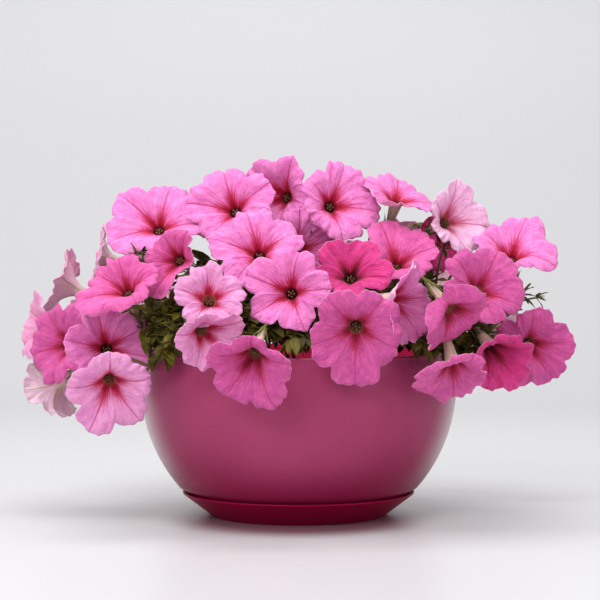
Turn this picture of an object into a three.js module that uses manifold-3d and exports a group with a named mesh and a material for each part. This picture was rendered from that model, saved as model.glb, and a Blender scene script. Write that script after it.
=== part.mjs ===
// A spreading petunia in full flower, planted in a round bowl that stands on its drip saucer.
// Millimetres, +Z up. The origin lies on the pot's axis, in the plane that the saucer stands on.
import * as THREE from 'three';
import { mergeVertices } from 'three/addons/utils/BufferGeometryUtils.js';
import Module from 'manifold-3d';

const wasm = await Module();
wasm.setup();

const { degToRad, euclideanModulo, lerp } = THREE.MathUtils;

// Driving dimensions of the pot
const ROUND_SEGMENTS = 40;
const GAP = 0.3;
const BOWL_SPHERE = { radius: 126, height: 105 };
const BOWL_WALL = 3;
const BOWL_RIM_HEIGHT = 131;
const BOWL_LIP_ROUND = 1.4;
const BOWL_HEEL = { radius: 90.2, height: 19.6 };
const BOWL_UNDERSIDE = { radius: 84, height: 14 };
const BOWL_FOOT_RADIUS = 62;
const DRAIN_HOLES = { count: 5, radius: 5, circle: 40, sides: 8, depth: 12 };
const SAUCER_FOOT_RADIUS = 70;
const SAUCER_LIP = { radius: 93, height: 18.8, edge: 1 };
const SAUCER_FLOOR = 2.4;
const SAUCER_WALL = 1.7;

// Driving dimensions of the soil and the crown with its tap root
const SOIL_EDGE_HEIGHT = 112;
const SOIL_TOP = { radius: 60, height: 116 };
const WALL_HEIGHTS = [24, 50, 80, SOIL_EDGE_HEIGHT];
const CROWN = { radius: 8.5, height: 121, bevel: 2, sides: 10 };
const NECK = { radius: 6, height: 104 };
const ROOT_TIP = { radius: 1.5, height: 48 };

// Driving dimensions of the shoots
const STEM = { radius: 1.6, sides: 5, step: 24 };
const SEAT_DEPTH = 3;
const KNEE = { spread: 1.25, rise: 8 };
const JOINTS = { count: 60, bare: 12 };
const PEDICEL = { radius: 0.95, sides: 4, steps: 3, sunk: 1 };
const PEDICEL_BEND = { elbow: 18, leave: 0.4, arch: 0.08, arrive: 0.45, longest: 16 };
const LEAF = { length: 38, width: 22, thickness: 0.9, widest: 0.45, fold: 0.12, droop: 0.16 };
const LEAF_PLACES = { bare: 24, spacing: 11, clearance: 1.2, rise: 0.55, rake: 0.55 };
const LEAF_SIZE = { middle: 0.85, spread: 0.15 };
const GOLDEN_ANGLE = degToRad(137.5);

// Driving dimensions of one flower, along its own axis from the throat
const TUBE_LENGTH = 30;
const TUBE_BASE_RADIUS = 2;
const THROAT = { radius: 5.6, depth: 3, floor: 8 };
const LIMB_THICKNESS = 1.6;
const LIMB_BEND = 0.55;
const LOBE_COUNT = 5;
const LOBE_STATIONS = [0.2, 0.5, 0.8];
const LOBE_NOTCH = { depth: 0.16, sharpness: 1.5 };
const SEPAL = { length: 13, reach: 8 };
const RECEPTACLE = { radius: 2.6, foot: 1.9, depth: 4 };

const WELD_DISTANCE = 1e-4;
const FULL_TURN = 2 * Math.PI;
const UP = new THREE.Vector3(0, 0, 1);

// Colours of the pieces
const FINISHES = {
  pot: { color: 0x9b3a5f, roughness: 0.32, metalness: 0 },
  saucer: { color: 0x6b1836, roughness: 0.32, metalness: 0 },
  soil: { color: 0x2c211a, roughness: 1, metalness: 0 },
  root: { color: 0x8a7a52, roughness: 0.8, metalness: 0 },
  shoot: { color: 0x4c5f1e, roughness: 0.7, metalness: 0 },
  bloom: { color: 0xe872b9, roughness: 0.6, metalness: 0 },
};

// One flower: the shoot that carries it, counted from 1; its throat; the yaw of its face about +Z,
// from -Y towards +X, and its pitch, both in degrees; how far its limb opens forward of the throat;
// and each lobe's angle in the face, counter-clockwise from its right, with the lobe's reach.
const flower = (shoot, at, yaw, pitch, cup, ...lobes) => ({ shoot, at, yaw, pitch, cup, lobes });

// Five lobes of one reach, the first at the angle turn and the rest a fifth of a turn apart
const even = (turn, reach) =>
  Array.from({ length: LOBE_COUNT }, (_, k) => [turn + (360 / LOBE_COUNT) * k, reach]);

const BLOOMS = [
  flower(3, [-109, -41, 228], -6, 35, 11, [0, 37], [79, 36], [142, 37], [209, 40], [300, 24]),
  flower(4, [-50, -38, 242], -13, 25, 13, [32, 33], [109, 34], [180, 35], [249, 33], [323, 34]),
  flower(4, [-11, -18, 253], -30, 9, 13, [66, 27], [140, 33], [207, 30], [287, 26], [342, 29]),
  flower(4, [25.5, -40, 245.5], 17, 14, 12, [70, 35], [134, 27], [206, 24], [276, 30], [348, 37]),
  flower(4, [-30, -72, 208], -5, 30, 13, [28, 35], [108, 37], [173, 34], [244, 35], [317, 35]),
  flower(6, [39, -95, 191], -5, 32, 11, [56, 28], [130, 28], [199, 27], [268, 24], [343, 32]),
  flower(6, [75, -66, 200], 4, 42, 13, [20, 35], [106, 39], [174, 24], [245, 27], [318, 30]),
  flower(7, [77, -30, 250], 27, 57, 8, [64, 36], [141, 29], [211, 30], [282, 34], [345, 41]),
  flower(7, [115, -40, 233], 26, 14, 13, [80, 28], [142, 20], [215, 20], [286, 29], [350, 36]),
  flower(5, [-6, -100, 179], -12, 14, 12, [1, 31], [76, 31], [162, 33], [220, 31], [295, 30]),
  flower(1, [-66, -112, 174], 6, 22, 12, [15, 27], [97, 23], [171, 26], [240, 25], [315, 25]),
  flower(1, [-70, -128, 151], 27, -17, 15, [30, 25.5], [105, 16.5], [176, 25.5], [253, 25], [321, 29]),
  flower(5, [-32, -150, 135], -14, -33, 18, [6, 29], [81, 24], [149, 30], [229, 32], [295, 35]),
  flower(6, [42, -135, 154], -1, -17, 15, [52, 34], [127, 34], [195, 33], [269, 41], [338, 34]),
  flower(6, [70, -120, 174], 50, -4, 14, [6, 24], [64, 24], [108, 28], [252, 29], [306, 28]),
  flower(8, [112, -130, 167], 40, -38, 14, [14, 27], [75, 24], [140, 16], [203, 28], [264, 31]),
  flower(8, [135, -90, 180], 21, 20, 12, [58, 33], [130, 33], [196, 30], [285, 27], [333, 35]),
  flower(8, [164, -50, 205], -12, 43, 14, [350, 36], [72, 38], [142, 31], [222, 20], [290, 20]),
  flower(8, [177, -60, 138], 8, -14, 14, [13, 32], [94, 33], [155, 31], [232, 28], [306, 30]),
  flower(8, [144, -95, 138], 25, -33, 21, [25, 26], [88, 23], [162, 29], [256, 23], [319, 30]),
  flower(8, [114, -120, 127], 21, -59, 14, [14, 21], [83, 27], [164, 33], [226, 33], [286, 32]),
  flower(1, [-147, -66, 135.5], 8, 8, 13, [346, 37], [28, 33], [105, 33], [170, 31], [250, 28]),
  flower(2, [-181, -27, 137], -41, 11, 12, [54, 32], [126, 31], [202, 33], [270, 33], [343, 32]),
  flower(1, [-140, -114, 113.5], 11, -25, 17, [18, 30], [93, 31], [173, 31], [246, 36], [311, 34]),
  flower(2, [-196, 6, 101], -124, -32, 8, ...even(8, 26)),
  flower(2, [-181, 10, 180], -98, 26, 15, [20, 27], [92, 25], [160, 28], [230, 29], [296, 25]),
  flower(2, [-202, 13, 150], -60, 6, 13, ...even(8, 27)),
  flower(1, [-129, -88, 180], -17, 42, 11, [30, 27], [105, 29], [160, 32], [213, 39], [308, 23]),
  flower(3, [-153, 12, 203], -86, 9, 12, ...even(8, 27)),
  flower(3, [-92, -76, 204], -27, 19, 9, [350, 25], [58, 20], [122, 20], [196, 25], [250, 35]),
  flower(4, [-1, -40, 210], 24, 6, 12, ...even(18, 31)),
  flower(7, [117, 18, 223], 34, -16, 12, ...even(18, 28)),
  flower(4, [-62, 56, 232], -160, 42, 12, ...even(10, 33)),
  flower(4, [16, 72, 236], 172, 40, 12, ...even(40, 33)),
  flower(7, [86, 62, 206], 146, 30, 12, ...even(25, 31)),
  flower(9, [-122, 58, 196], -142, 22, 12, ...even(55, 32)),
  flower(9, [-38, 124, 190], -168, 16, 12, ...even(30, 33)),
  flower(10, [50, 122, 186], 164, 18, 12, ...even(60, 33)),
  flower(10, [122, 98, 176], 142, 12, 12, ...even(15, 32)),
  flower(10, [154, 46, 164], 112, 10, 12, ...even(35, 32)),
  flower(9, [-112, 110, 150], -146, -8, 12, ...even(20, 32)),
  flower(9, [-172, 66, 142], -122, -10, 12, ...even(50, 31)),
  flower(10, [4, 158, 144], 178, -20, 12, ...even(10, 32)),
  flower(10, [92, 148, 136], 156, -22, 12, ...even(40, 31)),
  flower(9, [-72, 156, 128], -164, -32, 12, ...even(55, 31)),
  flower(10, [160, 100, 128], 130, -18, 12, ...even(25, 31)),
];

// The shoots, in the order that the flowers count them. Each is one or more stems: the first leaves
// the crown, and the others branch from a point of the first.
const SHOOTS = [
  [
    [[-45, -30, 156], [-90, -40, 156], [-128, -22, 136], [-146, -8, 124]],
    [[-45, -30, 156], [-62, -58, 150], [-88, -76, 140], [-112, -78, 122]],
  ],
  [[[-55, 8, 164], [-105, 14, 166], [-142, 22, 148], [-160, 22, 128]]],
  [[[-32, 10, 165], [-70, 14, 188], [-104, 24, 190]]],
  [[[-12, 12, 165], [-14, 20, 198], [2, 30, 226]]],
  [[[-5, -40, 150], [-12, -76, 154], [-20, -100, 146]]],
  [[[22, -38, 148], [40, -66, 148], [58, -92, 142]]],
  [[[36, 10, 165], [62, 12, 190], [90, 26, 206]]],
  [
    [[50, -18, 158], [95, -28, 166], [138, -10, 160], [160, 2, 148]],
    [[50, -18, 158], [78, -52, 164], [98, -80, 160]],
  ],
  [
    [[-40, 32, 156], [-78, 44, 160], [-116, 42, 150]],
    [[-40, 32, 156], [-42, 66, 162], [-52, 96, 152]],
  ],
  [
    [[36, 36, 156], [76, 52, 160], [112, 54, 148]],
    [[36, 36, 156], [36, 72, 160], [44, 98, 152]],
  ],
];

// The angles about the crown at which the shoots leave it, in degrees from +X
const SHOOT_ANGLES = [205, 172, 146, 106, 262, 298, 20, 338, 128, 62];

// Drops what only shading needs, so that every shared corner is one vertex of a closed skin.
function closeSkin(geometry) {
  const bare = geometry.clone();
  bare.deleteAttribute('normal');
  bare.deleteAttribute('uv');
  const merged = mergeVertices(bare, WELD_DISTANCE);
  const source = merged.index.array;
  const kept = [];
  for (let i = 0; i < source.length; i += 3) {
    const [a, b, c] = source.slice(i, i + 3);
    if (a !== b && b !== c && c !== a) kept.push(a, b, c);
  }
  merged.setIndex(kept);
  return merged;
}

function toSolid(geometry) {
  const closed = closeSkin(geometry);
  return new wasm.Manifold(
    new wasm.Mesh({
      numProp: 3,
      vertProperties: new Float32Array(closed.attributes.position.array),
      triVerts: new Uint32Array(closed.index.array),
    }),
  );
}

function toGeometry(solid) {
  const mesh = solid.getMesh();
  const geometry = new THREE.BufferGeometry();
  geometry.setAttribute('position', new THREE.BufferAttribute(new Float32Array(mesh.vertProperties), 3));
  geometry.setIndex(new THREE.BufferAttribute(new Uint32Array(mesh.triVerts), 1));
  geometry.computeVertexNormals();
  return geometry;
}

// A body turned about +Z from a profile of [radius, height] points, which starts and ends on the axis
function turned(profile, segments) {
  const points = profile.map(([radius, height]) => new THREE.Vector2(radius, height));
  const lathe = new THREE.LatheGeometry(points, segments);
  return lathe.rotateX(Math.PI / 2);
}

// A closed skin through rings of equal count, from a point below the first to a point past the last
function skinned(start, rings, end) {
  const count = rings[0].length;
  const corners = [start, ...rings.flat(), end];
  const last = corners.length - 1;
  const at = (ring, k) => 1 + ring * count + (k % count);
  const faces = [];
  for (let k = 0; k < count; k += 1) {
    faces.push(0, at(0, k + 1), at(0, k));
    for (let ring = 0; ring + 1 < rings.length; ring += 1) {
      faces.push(at(ring, k), at(ring, k + 1), at(ring + 1, k + 1));
      faces.push(at(ring, k), at(ring + 1, k + 1), at(ring + 1, k));
    }
    faces.push(at(rings.length - 1, k), at(rings.length - 1, k + 1), last);
  }
  return new THREE.BufferGeometry().setFromPoints(corners).setIndex(faces);
}

// A rod of a regular section that follows a curve
function rod(curve, { radius, sides }, steps) {
  const section = new THREE.Shape();
  for (let k = 0; k < sides; k += 1) {
    const angle = (FULL_TURN * k) / sides;
    const corner = [radius * Math.cos(angle), radius * Math.sin(angle)];
    if (k === 0) section.moveTo(...corner);
    else section.lineTo(...corner);
  }
  section.closePath();
  return new THREE.ExtrudeGeometry(section, { steps, bevelEnabled: false, extrudePath: curve });
}

// The points of the bowl's meridian at some heights, drawn in towards its centre by an offset
const meridian = (heights, offset) =>
  heights.map((height) => {
    const angle = Math.asin((height - BOWL_SPHERE.height) / BOWL_SPHERE.radius);
    const radius = BOWL_SPHERE.radius - offset;
    return [radius * Math.cos(angle), BOWL_SPHERE.height + radius * Math.sin(angle)];
  });

const BOWL_FOOT_HEIGHT = SAUCER_FLOOR + GAP;
const BOWL_FLOOR_HEIGHT = BOWL_FOOT_HEIGHT + BOWL_WALL;

// The bowl's cavity, from the floor's centre up its wall through some heights, drawn in by an offset
const cavityProfile = (heights, offset) => [
  [0, BOWL_FLOOR_HEIGHT + offset],
  [BOWL_FOOT_RADIUS - offset, BOWL_FLOOR_HEIGHT + offset],
  [BOWL_HEEL.radius - BOWL_WALL - offset, BOWL_HEEL.height + BOWL_WALL],
  ...meridian(heights, BOWL_WALL + offset),
];

function bowl() {
  const edge = BOWL_RIM_HEIGHT - BOWL_LIP_ROUND;
  const heights = [...WALL_HEIGHTS, edge];
  const outside = [
    [0, BOWL_FOOT_HEIGHT],
    [BOWL_FOOT_RADIUS, BOWL_FOOT_HEIGHT],
    [BOWL_UNDERSIDE.radius, BOWL_UNDERSIDE.height],
    [BOWL_HEEL.radius, BOWL_HEEL.height],
    ...meridian(heights, 0),
  ];
  const [[outerRimRadius]] = meridian([edge], 0);
  const [[innerRimRadius]] = meridian([edge], BOWL_WALL);
  const lip = [
    [outerRimRadius - BOWL_LIP_ROUND / 2, BOWL_RIM_HEIGHT],
    [innerRimRadius + BOWL_LIP_ROUND / 2, BOWL_RIM_HEIGHT],
  ];
  const inside = cavityProfile(heights, 0).reverse();
  const { count, radius, circle, sides, depth } = DRAIN_HOLES;
  let solid = toSolid(turned([...outside, ...lip, ...inside], ROUND_SEGMENTS));
  for (let k = 0; k < count; k += 1) {
    const angle = (FULL_TURN * k) / count;
    const drill = new THREE.CylinderGeometry(radius, radius, depth, sides);
    drill.rotateX(Math.PI / 2);
    drill.translate(circle * Math.cos(angle), circle * Math.sin(angle), BOWL_FOOT_HEIGHT);
    solid = solid.subtract(toSolid(drill));
  }
  return toGeometry(solid);
}

function saucer() {
  const slope = (SAUCER_LIP.radius - SAUCER_FOOT_RADIUS) / SAUCER_LIP.height;
  const innerRadius = (height) => SAUCER_FOOT_RADIUS + slope * height - SAUCER_WALL;
  return turned(
    [
      [0, 0],
      [SAUCER_FOOT_RADIUS, 0],
      [SAUCER_LIP.radius, SAUCER_LIP.height - SAUCER_LIP.edge],
      [SAUCER_LIP.radius, SAUCER_LIP.height],
      [innerRadius(SAUCER_LIP.height), SAUCER_LIP.height],
      [innerRadius(SAUCER_FLOOR), SAUCER_FLOOR],
      [0, SAUCER_FLOOR],
    ],
    ROUND_SEGMENTS,
  );
}

// The tap root and the crown's foot, up to the soil's top, with an offset for the socket they sit in
const rootProfile = (offset) => [
  [0, ROOT_TIP.height - offset],
  [ROOT_TIP.radius + offset, ROOT_TIP.height - offset],
  [NECK.radius + offset, NECK.height],
  [CROWN.radius + offset, SOIL_TOP.height],
];

function crown() {
  const head = [
    [CROWN.radius, CROWN.height - CROWN.bevel],
    [CROWN.radius - CROWN.bevel, CROWN.height],
    [0, CROWN.height],
  ];
  return turned([...rootProfile(0), ...head], CROWN.sides);
}

function soil() {
  const top = [SOIL_TOP.radius, SOIL_TOP.height];
  const socket = rootProfile(GAP).reverse();
  return turned([...cavityProfile(WALL_HEIGHTS, GAP), top, ...socket], ROUND_SEGMENTS);
}

// The frame of a flower's face: its right, its up and the way it faces, at its throat
function faceFrame({ at, yaw, pitch }) {
  const turn = degToRad(yaw);
  const lift = degToRad(pitch);
  const right = new THREE.Vector3(Math.cos(turn), Math.sin(turn), 0);
  const forward = new THREE.Vector3(
    Math.sin(turn) * Math.cos(lift),
    -Math.cos(turn) * Math.cos(lift),
    Math.sin(lift),
  );
  const up = new THREE.Vector3().crossVectors(forward, right);
  return new THREE.Matrix4().makeBasis(right, up, forward).setPosition(...at);
}

// The angle and reach of each corner of the limb's edge: two shoulders and a notch from lobe to lobe
function limbCorners(lobes) {
  return lobes.flatMap(([angle, reach], k) => {
    const [nextAngle, nextReach] = lobes[(k + 1) % lobes.length];
    const span = euclideanModulo(nextAngle - angle, 360);
    return LOBE_STATIONS.map((station) => {
      const nearness = 1 - Math.abs(2 * station - 1);
      const notched = 1 - LOBE_NOTCH.depth * nearness ** LOBE_NOTCH.sharpness;
      return { angle: degToRad(angle + span * station), reach: notched * lerp(reach, nextReach, station) };
    });
  });
}

// A trumpet: a tube that opens at the throat into a funnel-shaped limb with five notched lobes
function corolla({ cup, lobes }) {
  const corners = limbCorners(lobes);
  const mean = corners.reduce((sum, corner) => sum + corner.reach, 0) / corners.length;
  const ring = (height, radiusOf) =>
    corners.map((corner) => {
      const radius = radiusOf(corner);
      return new THREE.Vector3(radius * Math.cos(corner.angle), radius * Math.sin(corner.angle), height);
    });
  const halfway = (corner) => (corner.reach + mean) / 4;
  const bend = LIMB_BEND * cup;
  return skinned(
    new THREE.Vector3(0, 0, -TUBE_LENGTH),
    [
      ring(-TUBE_LENGTH, () => TUBE_BASE_RADIUS),
      ring(-THROAT.depth, () => THROAT.radius),
      ring(bend, halfway),
      ring(cup, (corner) => corner.reach),
      ring(bend + LIMB_THICKNESS, halfway),
      ring(LIMB_THICKNESS - THROAT.depth, () => THROAT.radius - LIMB_THICKNESS),
    ],
    new THREE.Vector3(0, 0, -THROAT.floor),
  );
}

// The calyx below a corolla: a small receptacle that spreads into five narrow pointed sepals, which
// stand off the tube
function calyx() {
  const floor = -TUBE_LENGTH - GAP;
  const ring = (radius, height, turn) =>
    Array.from({ length: LOBE_COUNT }, (_, k) => {
      const angle = (FULL_TURN * (k + turn)) / LOBE_COUNT;
      return new THREE.Vector3(radius * Math.cos(angle), radius * Math.sin(angle), height);
    });
  const corners = [
    ...ring(RECEPTACLE.foot, floor - RECEPTACLE.depth, 0),
    ...ring(RECEPTACLE.radius, floor, 0),
    ...ring(SEPAL.reach, floor + SEPAL.length, 0.5),
    ...ring(RECEPTACLE.radius, floor, 0.5),
    new THREE.Vector3(0, 0, floor - RECEPTACLE.depth),
    new THREE.Vector3(0, 0, floor),
  ];
  const over = corners.length - 1;
  const under = over - 1;
  const faces = [];
  for (let k = 0; k < LOBE_COUNT; k += 1) {
    const next = (k + 1) % LOBE_COUNT;
    const [stalk, valley, tip, inner] = [0, 1, 2, 3].map((level) => level * LOBE_COUNT + k);
    const [nextStalk, nextValley] = [next, LOBE_COUNT + next];
    faces.push(under, nextStalk, stalk);
    faces.push(stalk, nextStalk, tip, stalk, tip, valley, nextStalk, nextValley, tip);
    faces.push(valley, tip, inner, inner, tip, nextValley, over, valley, inner, over, inner, nextValley);
  }
  return new THREE.BufferGeometry().setFromPoints(corners).setIndex(faces);
}

// A thin leaf along +Y from its base at the origin, folded along its midrib and arched down
function leafBlade(length, width, thickness) {
  const fold = LEAF.fold * width;
  const widest = LEAF.widest * length;
  const face = (lift) => [
    new THREE.Vector3(0, 0, lift),
    new THREE.Vector3(-width / 2, widest, lift + fold),
    new THREE.Vector3(0, widest, lift),
    new THREE.Vector3(width / 2, widest, lift + fold),
    new THREE.Vector3(0, length, lift - LEAF.droop * length),
  ];
  const corners = [...face(thickness / 2), ...face(-thickness / 2)];
  const under = corners.length / 2;
  const faces = [[0, 2, 1], [0, 3, 2], [1, 2, 4], [2, 3, 4]];
  const outline = [0, 3, 4, 1];
  const index = faces.flatMap(([a, b, c]) => [a, b, c, a + under, c + under, b + under]);
  outline.forEach((a, k) => {
    const b = outline[(k + 1) % outline.length];
    index.push(a, a + under, b + under, a, b + under, b);
  });
  return new THREE.BufferGeometry().setFromPoints(corners).setIndex(index);
}

// A stem through its points: the straight runs that its rod follows, and the rod
function stem(points) {
  const curve = new THREE.CatmullRomCurve3(points.map((point) => new THREE.Vector3(...point)));
  const steps = Math.round(curve.getLength() / STEM.step);
  const joints = curve.getSpacedPoints(steps);
  const runs = new THREE.CurvePath();
  joints.slice(1).forEach((joint, k) => runs.add(new THREE.LineCurve3(joints[k], joint)));
  return { runs, solid: toSolid(rod(curve, STEM, steps)) };
}

// The stems of one shoot, the first seated against a flat side of the crown
function shootStems(shoot, k) {
  const angle = degToRad(SHOOT_ANGLES[k]);
  const seat = CROWN.radius * Math.cos(Math.PI / CROWN.sides) + GAP + STEM.radius;
  const [x, y] = [seat * Math.cos(angle), seat * Math.sin(angle)];
  const start = [x, y, CROWN.height - SEAT_DEPTH];
  const knee = [KNEE.spread * x, KNEE.spread * y, CROWN.height + KNEE.rise];
  return shoot.map((points, branch) => stem(branch === 0 ? [start, knee, ...points] : points));
}

// The point of a shoot's stems nearest to a place, past the bare stretch by the crown
function nearestOnStems(stems, place) {
  const points = stems.flatMap(({ runs }) => runs.getSpacedPoints(JOINTS.count).slice(JOINTS.bare));
  return points.reduce((best, point) => (point.distanceTo(place) < best.distanceTo(place) ? point : best));
}

// The flower's stalk: it leaves the stem and turns to run along the flower's axis into the calyx
function pedicel(stems, frame) {
  const forward = new THREE.Vector3().setFromMatrixColumn(frame, 2);
  const along = (distance) => new THREE.Vector3(0, 0, -distance).applyMatrix4(frame);
  const end = along(TUBE_LENGTH + GAP + RECEPTACLE.depth - PEDICEL.sunk);
  const elbow = along(TUBE_LENGTH + PEDICEL_BEND.elbow);
  const start = nearestOnStems(stems, elbow);
  const reach = start.distanceTo(end);
  const leave = start.clone().lerp(elbow, PEDICEL_BEND.leave).addScaledVector(UP, PEDICEL_BEND.arch * reach);
  const straight = Math.min(PEDICEL_BEND.arrive * reach, PEDICEL_BEND.longest);
  const arrive = end.clone().addScaledVector(forward, -straight);
  return rod(new THREE.CubicBezierCurve3(start, leave, arrive, end), PEDICEL, PEDICEL.steps);
}

// Every leaf place along a shoot's stems: a golden angle apart, each blade leaning out and up
function leafPlaces(stems) {
  return stems.flatMap(({ runs }, branch) => {
    const length = runs.getLength();
    const count = Math.floor((length - LEAF_PLACES.bare) / LEAF_PLACES.spacing);
    return Array.from({ length: count }, (_, k) => {
      const share = (LEAF_PLACES.bare + LEAF_PLACES.spacing * k) / length;
      const point = runs.getPointAt(share);
      const tangent = runs.getTangentAt(share);
      const side = new THREE.Vector3().crossVectors(tangent, UP).normalize();
      const over = new THREE.Vector3().crossVectors(side, tangent);
      const angle = GOLDEN_ANGLE * k + branch;
      const heading = side.multiplyScalar(Math.cos(angle));
      heading.addScaledVector(over, LEAF_PLACES.rise * Math.sin(angle));
      heading.addScaledVector(tangent, LEAF_PLACES.rake).normalize();
      const across = new THREE.Vector3().crossVectors(heading, UP).normalize();
      const normal = new THREE.Vector3().crossVectors(across, heading);
      const size = LEAF_SIZE.middle + LEAF_SIZE.spread * Math.cos(3 * k);
      return { size, frame: new THREE.Matrix4().makeBasis(across, heading, normal).setPosition(point) };
    });
  });
}

// A leaf in its place, grown by a margin on every side
function leaf({ size, frame }, margin) {
  const blade = leafBlade(LEAF.length * size + margin, LEAF.width * size + margin, LEAF.thickness + margin);
  return toSolid(blade.applyMatrix4(frame));
}

const boxOf = (solid) => {
  const { min, max } = solid.boundingBox();
  return new THREE.Box3(new THREE.Vector3(...min), new THREE.Vector3(...max));
};

const boxed = (solid) => ({ solid, box: boxOf(solid) });

function isClear(solid, neighbours) {
  const box = boxOf(solid);
  const meets = (other) => box.intersectsBox(other.box) && !solid.intersect(other.solid).isEmpty();
  return !neighbours.some(meets);
}

const group = new THREE.Group();
group.name = 'potted_petunia';

function add(name, geometry, finish) {
  const mesh = new THREE.Mesh(geometry, new THREE.MeshStandardMaterial(FINISHES[finish]));
  mesh.name = name;
  group.add(mesh);
  return mesh;
}

const numbered = (name, k) => `${name}_${String(k + 1).padStart(2, '0')}`;

// The pot and what it holds
add('pot_bowl', bowl(), 'pot');
add('drip_saucer', saucer(), 'saucer');
add('potting_soil', soil(), 'soil');
add('crown_root', crown(), 'root');

// The flowers
const bloomFrames = BLOOMS.map(faceFrame);
BLOOMS.forEach((bloom, k) => {
  add(numbered('bloom', k), corolla(bloom), 'bloom').applyMatrix4(bloomFrames[k]);
});

// The shoots: all the green wood first, then the leaves that find room beside the other pieces
const neighbours = group.children.map((mesh) => {
  mesh.updateMatrixWorld(true);
  return boxed(toSolid(mesh.geometry.clone().applyMatrix4(mesh.matrixWorld)));
});
const woods = SHOOTS.map((shoot, k) => {
  const stems = shootStems(shoot, k);
  const pieces = stems.map(({ solid }) => solid);
  BLOOMS.forEach((bloom, index) => {
    if (bloom.shoot !== k + 1) return;
    const frame = bloomFrames[index];
    pieces.push(toSolid(pedicel(stems, frame)), toSolid(calyx().applyMatrix4(frame)));
  });
  return { stems, solid: pieces.reduce((sum, piece) => sum.add(piece)) };
});
woods.forEach((wood, k) => {
  const others = woods.filter((other) => other !== wood).map(({ solid }) => boxed(solid));
  leafPlaces(wood.stems).forEach((place) => {
    if (!isClear(leaf(place, LEAF_PLACES.clearance), [...neighbours, ...others])) return;
    wood.solid = wood.solid.add(leaf(place, 0));
  });
  add(numbered('shoot', k), toGeometry(wood.solid), 'shoot');
});

export default group;
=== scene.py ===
"""A spreading petunia in full flower, in a round bowl on its drip saucer, in a plain studio.

Shapes are worked out in millimetres and written in metres. +Z is up, and the origin lies on the
bowl's axis, in the plane that the saucer stands on.
"""
import logging
import math
import random
from dataclasses import dataclass, field
from enum import Enum
from typing import Callable, Iterable, Sequence

import bmesh
import bpy
from bmesh.types import BMesh
from bpy.types import Material, Node, NodeTree
from mathutils import Matrix, Vector, noise


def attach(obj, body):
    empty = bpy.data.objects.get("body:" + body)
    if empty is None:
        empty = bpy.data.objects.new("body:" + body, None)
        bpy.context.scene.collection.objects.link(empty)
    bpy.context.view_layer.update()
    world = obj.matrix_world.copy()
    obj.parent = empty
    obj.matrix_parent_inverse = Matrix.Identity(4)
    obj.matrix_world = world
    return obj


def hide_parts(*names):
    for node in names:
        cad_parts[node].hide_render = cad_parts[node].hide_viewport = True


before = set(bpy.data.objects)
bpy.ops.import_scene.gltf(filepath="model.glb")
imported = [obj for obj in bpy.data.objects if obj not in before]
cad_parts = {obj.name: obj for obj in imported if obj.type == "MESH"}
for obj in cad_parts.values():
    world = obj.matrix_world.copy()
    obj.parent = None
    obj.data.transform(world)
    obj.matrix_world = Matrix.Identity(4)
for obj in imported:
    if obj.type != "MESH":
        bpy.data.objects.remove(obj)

log = logging.getLogger("petunia")

Piece = bpy.types.Object
Socket = bpy.types.NodeSocket
Sockets = bpy.types.bpy_prop_collection
Pair = tuple[float, float]
Triple = tuple[float, float, float]
Colour = Triple
Outline = list[Pair]
Surface = Callable[[float, float], Vector]
Test = Callable[[Vector], bool]

MM = 0.001
BODY = "root"
UP = Vector((0, 0, 1))
FULL_TURN = 2 * math.pi
GOLDEN_ANGLE = math.radians(137.5)
LOBES = 5
# the tube's share of a corolla's rows, and how the limb's rows widen towards the edge
TUBE_SHARE = 0.28
LIMB_SPREAD = 1.2
# two unit directions whose cross product is shorter than this count as one
PARALLEL = 0.05


# Small maths


def mix(a: float, b: float, share: float) -> float:
    """Returns the number a share of the way from a to b."""
    return a + (b - a) * share


def ease(value: float, low: float, high: float) -> float:
    """Returns 0 below low, 1 above high and a smooth step between them."""
    share = min(1.0, max(0.0, (value - low) / (high - low)))
    return share * share * (3 - 2 * share)


def colour(red: int, green: int, blue: int) -> Colour:
    """Returns the linear colour of a display colour given in 0 to 255."""
    shares = [value / 255 for value in (red, green, blue)]
    return tuple(c / 12.92 if c <= 0.04045 else ((c + 0.055) / 1.055) ** 2.4 for c in shares)


def smooth_path(points: Sequence[Vector], step: float) -> list[Vector]:
    """Runs a smooth curve through some points.

    Args:
        points: The points that the curve passes.
        step: The distance between two samples, in millimetres.

    Returns:
        The samples from the first point to the last.
    """
    ends = [points[0] * 2 - points[1], *points, points[-1] * 2 - points[-2]]
    samples = []
    for before, start, end, after in zip(ends, ends[1:], ends[2:], ends[3:]):
        count = max(1, round((end - start).length / step))
        for k in range(count):
            t = k / count
            samples.append(
                0.5 * (2 * start + (end - before) * t
                       + (2 * before - 5 * start + 4 * end - after) * t ** 2
                       + (3 * start - before - 3 * end + after) * t ** 3)
            )
    return [*samples, points[-1].copy()]


def bezier(start: Vector, leave: Vector, arrive: Vector, end: Vector, count: int) -> list[Vector]:
    """Runs a cubic curve between two points.

    Args:
        start: The first point.
        leave: The handle that the curve leaves it by.
        arrive: The handle that it reaches its end by.
        end: The last point.
        count: The number of steps.

    Returns:
        The samples, one more than the steps.
    """
    samples = []
    for k in range(count + 1):
        t = k / count
        s = 1 - t
        samples.append(start * s ** 3 + leave * 3 * s * s * t + arrive * 3 * s * t * t + end * t ** 3)
    return samples


@dataclass(frozen=True)
class Axes:
    """A place with its own right, up and forward directions.

    Attributes:
        origin: The place, in millimetres.
        right: The local X direction.
        up: The local Y direction.
        forward: The local Z direction.
    """

    origin: Vector
    right: Vector
    up: Vector
    forward: Vector

    def at(self, x: float, y: float, z: float) -> Vector:
        """Returns the world place of a local one."""
        return self.origin + self.right * x + self.up * y + self.forward * z

    def local(self, place: Vector) -> Vector:
        """Returns the local place of a world one."""
        away = place - self.origin
        return Vector((away.dot(self.right), away.dot(self.up), away.dot(self.forward)))


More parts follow.
